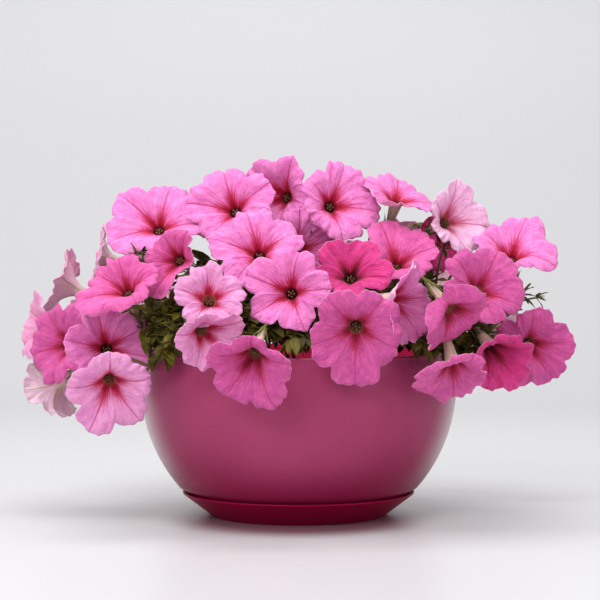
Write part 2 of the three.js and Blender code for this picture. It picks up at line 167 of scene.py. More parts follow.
def facing(origin: Vector, forward: Vector, spin: float) -> Axes:
    """Builds axes that look along a direction.

    Args:
        origin: The place of the axes.
        forward: The direction they look along.
        spin: How far they are turned about it, in radians.

    Returns:
        The axes, with their right side level before the spin.
    """
    forward = forward.normalized()
    level = forward.cross(UP) if abs(forward.z) < 0.999 else Vector((1, 0, 0))
    right = Matrix.Rotation(spin, 3, forward) @ -level.normalized()
    return Axes(origin, right, forward.cross(right), forward)


# Meshes


def new_mesh() -> BMesh:
    """Returns a mesh that is empty but for its UV map."""
    bm = bmesh.new()
    bm.loops.layers.uv.new("UVMap")
    return bm


def sheet(bm: BMesh, columns: int, rows: int, place: Surface, slot: int = 0) -> None:
    """Adds a grid bent to a surface, with its UV map running from 0 to 1 both ways.

    Args:
        bm: The mesh that gets the grid.
        columns: The number of faces along u.
        rows: The number of faces along v.
        place: Gives the surface's place in millimetres for u and v.
        slot: The material slot of the faces.
    """
    made = bmesh.ops.create_grid(bm, x_segments=columns, y_segments=rows, size=0.5, calc_uvs=True)
    for face in {face for vert in made["verts"] for face in vert.link_faces}:
        face.material_index = slot
    for vert in made["verts"]:
        vert.co = place(vert.co.x + 0.5, vert.co.y + 0.5) * MM


def rod(bm: BMesh, path: Sequence[Vector], radius: Callable[[float], float],
        sides: int, flat: float = 1.0, side: Vector = UP) -> None:
    """Adds a closed round or flattened rod along a path.

    Args:
        bm: The mesh that gets the rod.
        path: The points of its middle line.
        radius: Gives its radius for the share of its length, from 0 to 1.
        sides: The number of faces around it.
        flat: Its thickness as a share of its width.
        side: The direction that its width is kept square to, where it is flattened.
    """
    last = len(path) - 1
    axes = []
    for k, point in enumerate(path):
        along = (path[min(k + 1, last)] - path[max(k - 1, 0)]).normalized()
        across = along.cross(side)
        if across.length < PARALLEL:
            across = along.cross(Vector((1, 0.1, 0)))
        across.normalize()
        if flat == 1 and axes and across.dot(axes[-1][0]) < 0:
            across.negate()
        axes.append((across, across.cross(along)))

    def place(u: float, v: float) -> Vector:
        """Shapes the rod's skin, which closes on the rod's line at both ends.

        Args:
            u: The share of the way round it.
            v: The share of its rows.

        Returns:
            The place there.
        """
        row = round(v * (last + 2))
        k = min(max(row - 1, 0), last)
        if row in (0, last + 2):
            return path[k]
        across, over = axes[k]
        size = radius(k / last)
        angle = FULL_TURN * u
        return path[k] + across * (size * math.cos(angle)) + over * (size * flat * math.sin(angle))

    sheet(bm, sides, last + 2, place)


def turned(bm: BMesh, profile: Sequence[Pair], segments: int) -> None:
    """Spins a profile of (radius, height) points about +Z.

    Args:
        bm: The mesh that gets the turned skin.
        profile: The points in millimetres, in order.
        segments: The number of steps of the full turn.
    """
    verts = [bm.verts.new((radius * MM, 0, height * MM)) for radius, height in profile]
    edges = [bm.edges.new(pair) for pair in zip(verts, verts[1:])]
    bmesh.ops.spin(bm, geom=[*verts, *edges], axis=UP, cent=(0, 0, 0), angle=FULL_TURN,
                   steps=segments, use_merge=True, use_normal_flip=False)


def arc(centre: Pair, radius: float, start: float, end: float,
        count: int) -> Outline:
    """Returns count + 1 (radius, height) points of an arc, from start to end in degrees."""
    angles = [math.radians(mix(start, end, k / count)) for k in range(count + 1)]
    return [(centre[0] + radius * math.cos(a), centre[1] + radius * math.sin(a)) for a in angles]


def close_up(bm: BMesh, outwards: bool = True) -> None:
    """Welds a mesh's seams and poles.

    Args:
        bm: The mesh, in metres.
        outwards: Whether its skins are closed, so that their faces are turned outwards.
    """
    bmesh.ops.remove_doubles(bm, verts=bm.verts, dist=1e-6)
    bmesh.ops.dissolve_degenerate(bm, edges=bm.edges, dist=1e-7)
    if outwards:
        bmesh.ops.recalc_face_normals(bm, faces=bm.faces)


def finished(bm: BMesh, name: str, materials: Iterable[Material],
             nodes: Iterable[str] = (), sharp: float = 180.0) -> Piece:
    """Turns a mesh into a piece that rides on the plant's one body.

    Args:
        bm: The mesh, in metres.
        name: The piece's name.
        materials: The materials of its slots.
        nodes: The CAD nodes that it stands for.
        sharp: The angle past which an edge is shaded sharp, in degrees.

    Returns:
        The piece.
    """
    mesh = bpy.data.meshes.new(name)
    for face in bm.faces:
        face.smooth = True
    bm.to_mesh(mesh)
    bm.free()
    if sharp < 180:
        mesh.set_sharp_from_angle(angle=math.radians(sharp))
    for material in materials:
        mesh.materials.append(material)
    piece = bpy.data.objects.new(name, mesh)
    bpy.context.scene.collection.objects.link(piece)
    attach(piece, BODY)
    nodes = list(nodes)
    if nodes:
        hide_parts(*nodes)
    log.info("%s: %d faces", name, len(mesh.polygons))
    return piece


def thickened(piece: Piece, thickness: float, back: int = 0) -> None:
    """Gives a thin skin its thickness, behind it.

    Args:
        piece: The piece.
        thickness: The thickness, in millimetres.
        back: How many material slots after the front's the back's comes.
    """
    wall = piece.modifiers.new("thickness", "SOLIDIFY")
    wall.thickness = thickness * MM
    wall.offset = -1
    wall.use_even_offset = False
    wall.material_offset = back


# Node trees


class Wiring:
    """Adds nodes to a tree and links them.

    Attributes:
        tree: The node tree.
    """

    def __init__(self, tree: NodeTree) -> None:
        """Keeps the tree that the nodes go into."""
        self.tree = tree

    def node(self, kind: str, inputs: dict | None = None, **settings: object) -> Node:
        """Adds one node.

        Args:
            kind: Its type, without the ShaderNode prefix.
            inputs: A number, colour or socket for each input, by name or index.
            **settings: The node's own settings.

        Returns:
            The node.
        """
        made = self.tree.nodes.new(kind if kind.startswith("Node") else "ShaderNode" + kind)
        for key, value in settings.items():
            setattr(made, key, value)
        self.feed(made, inputs or {})
        return made

    def feed(self, node: Node, inputs: dict) -> None:
        """Gives a node's inputs their numbers, colours or links.

        Args:
            node: The node.
            inputs: A number, colour or socket for each input, by name or index.
        """
        for key, value in inputs.items():
            socket = node.inputs[key]
            if isinstance(value, Socket):
                self.tree.links.new(value, socket)
            elif socket.type == "RGBA" and len(value) == 3:
                socket.default_value = (*value, 1)
            else:
                socket.default_value = value

    def maths(self, operation: str, *values: object) -> Socket:
        """Returns the output of a Math node."""
        return self.node("Math", dict(enumerate(values)), operation=operation).outputs[0]

    def plus(self, first: object, second: object) -> Socket:
        """Returns a sum."""
        return self.maths("ADD", first, second)

    def minus(self, first: object, second: object) -> Socket:
        """Returns a difference."""
        return self.maths("SUBTRACT", first, second)

    def times(self, first: object, second: object) -> Socket:
        """Returns a product."""
        return self.maths("MULTIPLY", first, second)

    def scaled(self, value: object, factor: object, more: object) -> Socket:
        """Returns the product of a value and a factor, and something more."""
        return self.maths("MULTIPLY_ADD", value, factor, more)

    def step(self, value: object, low: object, high: object, start: float = 0.0,
             end: float = 1.0) -> Socket:
        """Returns a smooth step from start at low to end at high."""
        made = self.node("MapRange", {0: value, 1: low, 2: high, 3: start, 4: end},
                         interpolation_type="SMOOTHSTEP")
        return made.outputs[0]

    def blend(self, share: object, first: object, second: object) -> Socket:
        """Returns a mix of two colours."""
        return self.node("Mix", {0: share, 6: first, 7: second}, data_type="RGBA").outputs[2]

    def laid(self, under: object, mark: object, strength: object, over: object) -> Socket:
        """Returns a colour with another laid over it where a mark is."""
        return self.blend(self.times(mark, strength), under, over)

    def noise(self, at: object, scale: float, detail: float = 2.0,
              rough: float = 0.5) -> Socket:
        """Returns the value of a Noise Texture."""
        made = self.node("TexNoise", {"Vector": at, "Scale": scale, "Detail": detail,
                                      "Roughness": rough})
        return made.outputs[0]


class Effect:
    """A shader node group, built once and placed in every material that uses it."""

    name = ""
    inputs: dict[str, tuple[str, float]] = {}
    outputs: tuple[str, ...] = ()
    _built: dict[str, NodeTree] = {}

    @classmethod
    def group(cls) -> NodeTree:
        """Keeps the group, which the first call builds.

        Returns:
            The group.
        """
        if cls.name not in cls._built:
            tree = bpy.data.node_groups.new(cls.name, "ShaderNodeTree")
            for title, (kind, value) in cls.inputs.items():
                socket = tree.interface.new_socket(title, in_out="INPUT", socket_type=kind)
                if kind == "NodeSocketFloat":
                    socket.default_value = value
            for title in cls.outputs:
                tree.interface.new_socket(title, in_out="OUTPUT", socket_type="NodeSocketFloat")
            wiring = Wiring(tree)
            given = wiring.node("NodeGroupInput").outputs
            results = cls.wire(wiring, given)
            wiring.node("NodeGroupOutput", dict(zip(cls.outputs, results)))
            cls._built[cls.name] = tree
        return cls._built[cls.name]

    @classmethod
    def wire(cls, w: Wiring, given: Sockets) -> Sequence[Socket]:
        """Wires the group.

        Args:
            w: The wiring of its tree.
            given: Its inputs.

        Returns:
            The sockets of its outputs, in their order.
        """
        raise NotImplementedError

    @classmethod
    def placed(cls, w: Wiring, inputs: dict) -> Sockets:
        """Places the group in a tree and returns its outputs."""
        return w.node("Group", inputs, node_tree=cls.group()).outputs


class PetalMarkings(Effect):
    """The veins, the halo round the throat, the mottling and the wrinkles of a petunia's limb."""

    name = "petal_markings"
    inputs = {"UV": ("NodeSocketVector", 0), "Place": ("NodeSocketVector", 0)}
    outputs = ("Midvein", "Rays", "Fan veins", "Side veins", "Star", "Halo", "Core", "Throat", "Mottle",
               "Streaks", "Edge", "Height")
    # the radius of the throat and the reach of the limb from there, in millimetres
    throat_radius = 4.6
    limb_reach = 27.0
    # the distance between two veins of the fan, as a share of a lobe's turn at the edge
    fan_pitch = 0.155
    # each ray's start beside its midvein, its slant, where it is darkest and where it ends, and its width
    ray_lines = ((0.085, 0.13, 0.14, 0.66, 0.72), (0.20, 0.17, 0.08, 0.48, 0.66),
                 (0.35, 0.12, 0.02, 0.33, 0.60))

    @classmethod
    def wire(cls, w: Wiring, given: Sockets) -> Sequence[Socket]:
        """Wires the markings.

        Args:
            w: The wiring of the group's tree.
            given: Its inputs.

        Returns:
            The sockets of its outputs, in their order.
        """
        split = w.node("SeparateXYZ", {0: given["UV"]}).outputs
        place = given["Place"]
        fine = w.noise(place, 260, 2)
        broad = w.noise(place, 62, 3)
        sway = w.minus(broad, 0.5)

        def unsteady(line: Socket, amount: float) -> Socket:
            """Returns a measure that wavers with the fine noise."""
            return w.scaled(w.minus(fine, 0.5), amount, line)

        # where a point lies: its turn in lobes, how far beside a midvein, how far out, and its radius
        turn = w.scaled(split[0], LOBES, w.times(sway, 0.05))
        whole = w.maths("FRACT", w.plus(turn, 0.5))
        aside = w.maths("ABSOLUTE", w.minus(whole, 0.5))
        share = w.maths("DIVIDE", w.minus(split[1], TUBE_SHARE), 1 - TUBE_SHARE)
        beyond = w.maths("MAXIMUM", share, 0.0)
        out = w.plus(w.maths("POWER", beyond, LIMB_SPREAD), w.maths("MINIMUM", share, 0.0))
        radius = w.scaled(w.maths("MAXIMUM", out, 0.0), cls.limb_reach, cls.throat_radius)
        apart = unsteady(w.times(w.times(aside, FULL_TURN / LOBES), radius), 0.5)
        width = w.scaled(out, -0.55, 1.05)
        midvein = w.step(apart, 0.08, width, 1, 0)
        # the star: a wedge of deeper colour along each midvein, which narrows outwards
        wedge = w.scaled(out, -4.4, 2.7)
        star = w.step(w.minus(wedge, apart), -0.8, 1.9)
        # veins that leave the throat close together and fan out to the edge
        opening = w.maths("POWER", w.plus(w.maths("MAXIMUM", out, 0.0), 0.08), 0.62)
        rank = w.maths("DIVIDE", aside, w.times(opening, cls.fan_pitch))
        gap = w.times(w.maths("PINGPONG", rank, 0.5), w.times(opening, cls.fan_pitch))
        gap = unsteady(w.times(gap, w.times(radius, FULL_TURN / LOBES)), 0.45)
        fan = w.times(w.step(gap, 0.05, 0.50, 1, 0), w.step(out, 0.95, 0.05))
        # dark rays leave the throat on each side of a midvein and end part of the way out
        rays = None
        for start, slant, full, end, wide in cls.ray_lines:
            line = w.maths("ABSOLUTE", w.minus(aside, w.scaled(out, slant, start)))
            line = unsteady(w.times(w.times(line, FULL_TURN / LOBES), radius), 0.7)
            ray = w.times(w.step(line, 0.05, wide, 1, 0), w.step(out, end, full))
            rays = ray if rays is None else w.maths("MAXIMUM", rays, ray)
        # finer veins leave these at a slant
        root = w.minus(out, w.times(aside, 1.25))
        root = w.scaled(sway, 0.16, root)
        comb = w.maths("PINGPONG", w.times(root, 12.0), 0.5)
        side = w.times(w.step(comb, 0.02, 0.15, 1, 0), w.step(root, -0.42, 0.0))
        # the halo, its dark core and the throat
        warp = unsteady(out, 0.10)
        halo = w.step(w.scaled(aside, 0.30, warp), 0.0, 0.44, 1, 0)
        core = w.step(w.scaled(aside, 0.16, warp), -0.02, 0.17, 1, 0)
        throat = w.step(out, -0.10, 0.035, 1, 0)
        # blotches, and streaks that run outwards
        spots = w.noise(place, 150, 4, 0.62)
        mottle = w.step(w.scaled(spots, 0.6, w.times(broad, 0.4)), 0.42, 0.64)
        streak = w.node("CombineXYZ", {0: w.times(turn, 5.0), 1: w.times(out, 1.6), 2: w.times(broad, 1.5)})
        streaks = w.noise(streak.outputs[0], 3.2, 3, 0.6)
        edge = w.step(out, 0.97, 1.0)
        # the height: wrinkles along the streaks, fine cells, sunken veins and raised blotches
        cells = w.noise(place, 900, 2)
        height = w.scaled(w.minus(streaks, 0.5), w.scaled(out, 1.3, 0.5), w.times(cells, 0.18))
        for mark, rise in ((midvein, -0.45), (fan, -0.25), (rays, -0.3), (side, -0.18), (spots, 0.85)):
            height = w.scaled(mark, rise, height)
        return midvein, rays, fan, side, star, halo, core, throat, mottle, streaks, edge, height


class LeafVeins(Effect):
    """The midrib, side veins and blotches of a leaf."""

    name = "leaf_veins"
    inputs = {"UV": ("NodeSocketVector", 0), "Place": ("NodeSocketVector", 0)}
    outputs = ("Vein", "Blotch", "Height")

    @classmethod
    def wire(cls, w: Wiring, given: Sockets) -> Sequence[Socket]:
        """Wires the veins.

        Args:
            w: The wiring of the group's tree.
            given: Its inputs.

        Returns:
            The sockets of its outputs, in their order.
        """
        split = w.node("SeparateXYZ", {0: given["UV"]}).outputs
        aside = w.maths("ABSOLUTE", w.minus(split[0], 0.5))
        rib = w.step(aside, 0.015, 0.06, 1, 0)
        slanted = w.minus(split[1], w.times(aside, 0.5))
        comb = w.maths("PINGPONG", w.times(slanted, 9.0), 0.5)
        side = w.times(w.step(comb, 0.03, 0.13, 1, 0), 0.55)
        vein = w.maths("MAXIMUM", rib, side)
        blotch = w.step(w.noise(given["Place"], 70, 3), 0.35, 0.66)
        down = w.noise(given["Place"], 700, 2)
        height = w.scaled(vein, -0.6, w.times(down, 0.35))
        height = w.scaled(blotch, 0.3, height)
        return vein, blotch, height


class Speckle(Effect):
    """A fine even grain with broad cloudiness, for plastic, soil and paper-like surfaces."""

    name = "speckle"
    inputs = {"Place": ("NodeSocketVector", 0), "Grain": ("NodeSocketFloat", 900.0),
              "Cloud": ("NodeSocketFloat", 12.0)}
    outputs = ("Grain", "Cloud")

    @classmethod
    def wire(cls, w: Wiring, given: Sockets) -> Sequence[Socket]:
        """Wires the speckle; see Effect.wire."""
        return (w.noise(given["Place"], given["Grain"], 2), w.noise(given["Place"], given["Cloud"], 3))


def begun(name: str) -> tuple[Material, Wiring, Node]:
    """Begins a material.

    Args:
        name: Its name.

    Returns:
        The material, its wiring and its Principled shader.
    """
    material = bpy.data.materials.new(name)
    material.use_nodes = True
    tree = material.node_tree
    return material, Wiring(tree), tree.nodes["Principled BSDF"]


def bumped(w: Wiring, shader: Node, height: object, distance: float,
           strength: float = 1.0) -> None:
    """Bends a shader's normal by a height, with its size in millimetres."""
    bump = w.node("Bump", {"Height": height, "Distance": distance * MM, "Strength": strength})
    w.feed(shader, {"Normal": bump.outputs[0]})


# Finishes

# colours that every petal shares, on its face and on its back
LIGHT_STREAK = colour(255, 178, 226)
OUTER_VEIN = colour(206, 56, 116)
# the pale band along each edge is painted light, in place of the light that a petal's thin edge lets through
PAINTED_EDGE_LIGHT = colour(255, 205, 235)
BACK_VEIN = colour(206, 120, 150)
BACK_STAR = colour(222, 204, 160)
BACK_MIDVEIN = colour(160, 158, 84)
BACK_THROAT = colour(196, 180, 140)
# the colours of most throats
MAROON = colour(128, 24, 42)
OLIVE = colour(176, 150, 108)
# what lets light pass through a thin living skin
THIN_SKIN = {"Subsurface Weight": 0.3, "Subsurface Radius": (1.0, 0.4, 0.7), "Subsurface Scale": 1.4 * MM}
# how bright the darker patches on a petal's back are, as a share of its colour
BACK_SHADE = 0.88


@dataclass(frozen=True)
class PetalFinish:
    """The colours of one flower.

    Attributes:
        title: The name of its materials.
        bright: The limb's main colour.
        mauve: The colour of its mottling.
        halo: The colour round its throat.
        halo_share: How far that colour covers the main one.
        vein: The colour of its veins.
        vein_share: How far the veins cover the limb.
        throat: The colour inside its throat.
        back: The colour behind the limb.
    """

    title: str
    bright: Colour
    mauve: Colour
    halo: Colour
    halo_share: float
    vein: Colour
    vein_share: float
    throat: Colour
    back: Colour

    def face(self) -> Material:
        """Makes the material of the limb's face.

        Returns:
            The material.
        """
        material, w, shader = begun(self.title + "_face")
        place = w.node("TexCoord").outputs
        marks = PetalMarkings.placed(w, {"UV": place["UV"], "Place": place["Object"]})
        halo, star, share = marks["Halo"], marks["Star"], self.vein_share
        tone = w.laid(self.bright, marks["Mottle"], 0.7, self.mauve)
        tone = w.blend(w.step(marks["Streaks"], 0.62, 0.36, 0, 0.4), tone, self.mauve)
        tone = w.blend(w.step(marks["Streaks"], 0.56, 0.76, 0, 0.16), tone, LIGHT_STREAK)
        tone = w.laid(tone, halo, self.halo_share, self.halo)
        ink = w.blend(halo, OUTER_VEIN, self.vein)
        tone = w.laid(tone, star, 0.48 * share, self.halo)
        tone = w.laid(tone, star, w.times(halo, 0.45 * share), self.vein)
        tone = w.laid(tone, marks["Fan veins"], w.scaled(halo, 0.2, 0.10), ink)
        tone = w.laid(tone, marks["Side veins"], 0.12, ink)
        tone = w.laid(tone, marks["Rays"], 0.92 * share, ink)
        tone = w.laid(tone, marks["Midvein"], w.scaled(halo, 0.4 * share, 0.52), ink)
        tone = w.laid(tone, marks["Core"], 0.8 * min(1.0, share), self.vein)
        tone = w.blend(marks["Throat"], tone, self.throat)
        # painted light along the edge, in place of the light that the thin edge lets through
        tone = w.laid(tone, marks["Edge"], 0.25, PAINTED_EDGE_LIGHT)
        w.feed(shader, {"Base Color": tone, "Roughness": 0.62, "Specular IOR Level": 0.3,
                        "Sheen Weight": 0.06, "Sheen Roughness": 0.45, "Sheen Tint": (1.0, 0.82, 0.92),
                        **THIN_SKIN})
        bumped(w, shader, marks["Height"], 1.3, 1.0)
        return material

    def behind(self) -> Material:
        """Makes the material of the limb's back and of the tube, paler, with greenish midveins.

        Returns:
            The material.
        """
        material, w, shader = begun(self.title + "_back")
        place = w.node("TexCoord").outputs
        marks = PetalMarkings.placed(w, {"UV": place["UV"], "Place": place["Object"]})
        tone = w.laid(self.back, marks["Mottle"], 0.5, tuple(c * BACK_SHADE for c in self.back))
        for name, strength, over in (("Fan veins", 0.3, BACK_VEIN), ("Star", 0.25, BACK_STAR),
                                     ("Midvein", 0.7, BACK_MIDVEIN), ("Throat", 0.55, BACK_THROAT)):
            tone = w.laid(tone, marks[name], strength, over)
        w.feed(shader, {"Base Color": tone, "Roughness": 0.7, "Sheen Weight": 0.2, "Sheen Roughness": 0.5,
                        **THIN_SKIN})
        bumped(w, shader, marks["Height"], 1.0, 0.9)
        return material


class PetalLook(Enum):
    """The kinds of flower on the plant."""

    FRESH = PetalFinish("petal_fresh", colour(251, 141, 207), colour(226, 108, 187), colour(238, 16, 82),
                        0.88, colour(172, 0, 40), 1.0, MAROON, colour(240, 188, 210))
    ROSE = PetalFinish("petal_rose", colour(240, 108, 178), colour(208, 80, 157), colour(228, 10, 74),
                       0.88, colour(160, 0, 38), 1.0, MAROON, colour(236, 178, 204))
    DUSKY = PetalFinish("petal_dusky", colour(218, 92, 162), colour(186, 72, 145), colour(208, 8, 64),
                        0.88, colour(140, 0, 32), 1.05, OLIVE, colour(226, 160, 190))
    DEEP = PetalFinish("petal_deep", colour(224, 56, 138), colour(192, 44, 124), colour(202, 2, 64),
                       0.92, colour(104, 0, 26), 1.1, colour(66, 8, 20), colour(220, 138, 180))
    PALE = PetalFinish("petal_pale", colour(250, 168, 215), colour(227, 138, 199), colour(240, 44, 100),
                       0.8, colour(184, 4, 46), 1.0, colour(206, 158, 126), colour(240, 200, 216))
    BLUSH = PetalFinish("petal_blush", colour(255, 198, 231), colour(249, 176, 219), colour(238, 134, 156),
                        0.5, colour(182, 46, 80), 0.6, colour(160, 148, 76), colour(243, 206, 218))
    FADED = PetalFinish("petal_faded", colour(248, 172, 208), colour(230, 152, 196), colour(234, 90, 132),
                        0.45, colour(190, 48, 84), 0.6, OLIVE, colour(250, 210, 228))


@dataclass(frozen=True)
class GreenFinish:
    """A green of the plant's stems, sepals and leaves.

    Attributes:
        title: The material's name.
        fresh: The brighter green.
        dark: The green of its blotches.
        vein: The colour of its veins.
        rough: Its roughness.
    """

    title: str
    fresh: Colour
    dark: Colour
    vein: Colour
    rough: float = 0.55

    def made(self) -> Material:
        """Makes the material.

        Returns:
            The material.
        """
        material, w, shader = begun(self.title)
        place = w.node("TexCoord").outputs
        marks = LeafVeins.placed(w, {"UV": place["UV"], "Place": place["Object"]})
        tone = w.blend(marks["Blotch"], self.fresh, self.dark)
        tone = w.laid(tone, marks["Vein"], 0.6, self.vein)
        rough = w.scaled(marks["Blotch"], 0.15, self.rough)
        w.feed(shader, {"Base Color": tone, "Roughness": rough, "Specular IOR Level": 0.28,
                        "Sheen Weight": 0.02, "Sheen Roughness": 0.4})
        bumped(w, shader, marks["Height"], 0.6)
        return material


class Green(Enum):
    """The greens of the plant."""

    LEAF = GreenFinish("green_leaf", colour(112, 102, 26), colour(72, 65, 12), colour(134, 124, 52))
    OLD_LEAF = GreenFinish("green_old_leaf", colour(88, 78, 20), colour(58, 50, 9), colour(104, 94, 36))
    STEM = GreenFinish("green_stem", colour(114, 116, 52), colour(88, 90, 36), colour(128, 132, 66))


@dataclass(frozen=True)
class PlasticFinish:
    """Smooth coloured plastic with a soft gloss.

    Attributes:
        title: The material's name.
        tone: Its colour.
        shade: The colour of its faint cloudiness.
        foot: Its darker colour towards the foot: painted shade, in place of the shaded floor that the bowl's
            lower side reflects.
        rough: Its roughness.
        coat: The weight of its clear gloss.
        painted_sheen: How far it is painted paler where it is seen at a slant, a painted sheen in place of
            the studio's reflection at its edges.
        gloss: The strength of its reflections.
        painted_glow: How strongly it glows in its own colour, a painted glow in place of light that comes
            through it from its other side.
    """

    title: str
    tone: Colour
    shade: Colour
    foot: Colour
    rough: float
    coat: float
    painted_sheen: float = 0.0
    gloss: float = 0.2
    painted_glow: float = 0.0

    def made(self) -> Material:
        """Makes the material.

        Returns:
            The material.
        """
        material, w, shader = begun(self.title)
        place = w.node("TexCoord").outputs["Object"]
        marks = Speckle.placed(w, {"Place": place, "Grain": 1400.0, "Cloud": 14.0})
        tone = w.blend(w.step(marks["Cloud"], 0.35, 0.65), self.tone, self.shade)
        height = w.node("SeparateXYZ", {0: place}).outputs[2]
        # painted shade: the plastic darkens towards the foot by height
        tone = w.blend(w.step(height, 0.012, 0.060, 0.8, 0), tone, self.foot)
        # more painted shade on the lower sides, where the bowl is seen at a slant
        slant = w.node("LayerWeight", {0: 0.5}).outputs["Facing"]
        low = w.times(w.step(height, 0.034, 0.09, 1, 0), w.step(slant, 0.08, 0.4, 0, 0.45))
        tone = w.blend(low, tone, self.foot)
        # painted sheen: the upper bowl pales to grey where it is seen at a slant, in place of the studio's
        # reflection at its edges
        painted_sheen = w.times(w.step(height, 0.02, 0.06), w.step(slant, 0.5, 0.95, 0, self.painted_sheen))
        tone = w.blend(painted_sheen, tone, PAINTED_SHEEN_GREY)
        rough = w.scaled(marks["Cloud"], 0.06, self.rough - 0.03)
        # the emission paints a glow in the plastic's own colour, in place of light through the thin wall
        w.feed(shader, {"Base Color": tone, "Roughness": rough, "Emission Color": self.tone,
                        "Emission Strength": self.painted_glow, "Specular IOR Level": self.gloss,
                        "Coat Weight": self.coat, "Coat Roughness": 0.22})
        bumped(w, shader, marks["Grain"], 0.03, 0.5)
        return material


@dataclass(frozen=True)
class EarthFinish:
    """Crumbly or woody matter.

    Attributes:
        title: The material's name.
        tone: Its main colour.
        crumb: The colour of its crumbs.
        grain: The scale of its grain.
    """

    title: str
    tone: Colour
    crumb: Colour
    grain: float

    def made(self) -> Material:
        """Makes the material.

        Returns:
            The material.
        """
        material, w, shader = begun(self.title)
        place = w.node("TexCoord").outputs["Object"]
        marks = Speckle.placed(w, {"Place": place, "Grain": self.grain, "Cloud": 60.0})
        tone = w.blend(w.step(marks["Grain"], 0.42, 0.62), self.tone, self.crumb)
        w.feed(shader, {"Base Color": tone, "Roughness": 0.95})
        bumped(w, shader, w.plus(marks["Grain"], marks["Cloud"]), 1.2)
        return material


# the grey painted onto coloured plastic where it is seen at a slant, a painted sheen in place of the
# studio's reflection
PAINTED_SHEEN_GREY = colour(212, 200, 205)
POT = PlasticFinish("pot_plastic", colour(161, 60, 101), colour(155, 56, 96), colour(126, 4, 53),
                    0.28, 0.06, painted_sheen=0.61, gloss=0.12)
# the lining's painted glow stands in for light that comes through the thin wall from outside
LINING = PlasticFinish("pot_lining", colour(176, 30, 70), colour(168, 27, 65), colour(112, 2, 44),
                       0.35, 0.0, painted_glow=0.6)
SAUCER = PlasticFinish("saucer_plastic", colour(154, 5, 60), colour(148, 5, 56), colour(132, 4, 50),
                       0.34, 0.0, gloss=0.06)
SOIL = EarthFinish("soil_peat", colour(44, 31, 23), colour(72, 54, 40), 380.0)
BARK = EarthFinish("bark", colour(122, 108, 66), colour(84, 72, 44), 240.0)
HEART = EarthFinish("anther", colour(150, 116, 84), colour(112, 78, 58), 900.0)


# The flowers


@dataclass(frozen=True)
class Fold:
    """A lobe that bends back, or forward where the bend is negative, or ends in a point.

    Attributes:
        lobe: The number of the lobe that it is on, from 0; a half lies between two lobes.
        bend: How far its edge turns back, in degrees.
        crease: Where the bend starts, as a share of the way from the throat to the edge.
        point: How far the lobe's tip is drawn out, as a share of its reach.
    """

    lobe: float
    bend: float
    crease: float = 0.3
    point: float = 0.0

    def away(self, u: float) -> float:
        """Returns how many lobes u lies from the fold's middle."""
        return abs((u * LOBES - self.lobe + LOBES / 2) % LOBES - LOBES / 2)


@dataclass(frozen=True)
class Flower:
    """One flower's place and shape.

    Attributes:
        shoot: The number of the shoot that carries it, from 1.
        throat: The middle of its throat, in millimetres.
        yaw: The turn of its face about +Z, from -Y towards +X, in degrees.
        pitch: How far its face looks up, in degrees.
        cup: How far its limb opens forward of the throat, in millimetres.
        lobes: Each lobe's angle in the face, counter-clockwise from its right, and its reach.
        look: Its colours.
        folds: The lobes that bend back.
    """

    shoot: int
    throat: Triple
    yaw: float
    pitch: float
    cup: float
    lobes: tuple[Pair, ...]
    look: PetalLook
    folds: tuple[Fold, ...]

    @property
    def axes(self) -> Axes:
        """Turns the flower's yaw and pitch into axes.

        Returns:
            The axes; the face looks along the forward one.
        """
        turn, lift = math.radians(self.yaw), math.radians(self.pitch)
        right = Vector((math.cos(turn), math.sin(turn), 0))
        forward = Vector((math.sin(turn) * math.cos(lift), -math.cos(turn) * math.cos(lift),
                          math.sin(lift)))
        return Axes(Vector(self.throat), right, forward.cross(right), forward)


def even(turn: float, reach: float) -> tuple[Pair, ...]:
    """Returns five lobes of one reach, the first at the angle turn."""
    return tuple((turn + 360 / LOBES * k, reach) for k in range(LOBES))


def flower(shoot: int, throat: Triple, yaw: float, pitch: float, cup: float,
           lobes: tuple[Pair, ...], look: PetalLook, *folds: Fold) -> Flower:
    """Returns a flower; see Flower for the arguments."""
    return Flower(shoot, throat, yaw, pitch, cup, lobes, look, folds)


FRESH, ROSE, DUSKY, DEEP, PALE, BLUSH, FADED = PetalLook

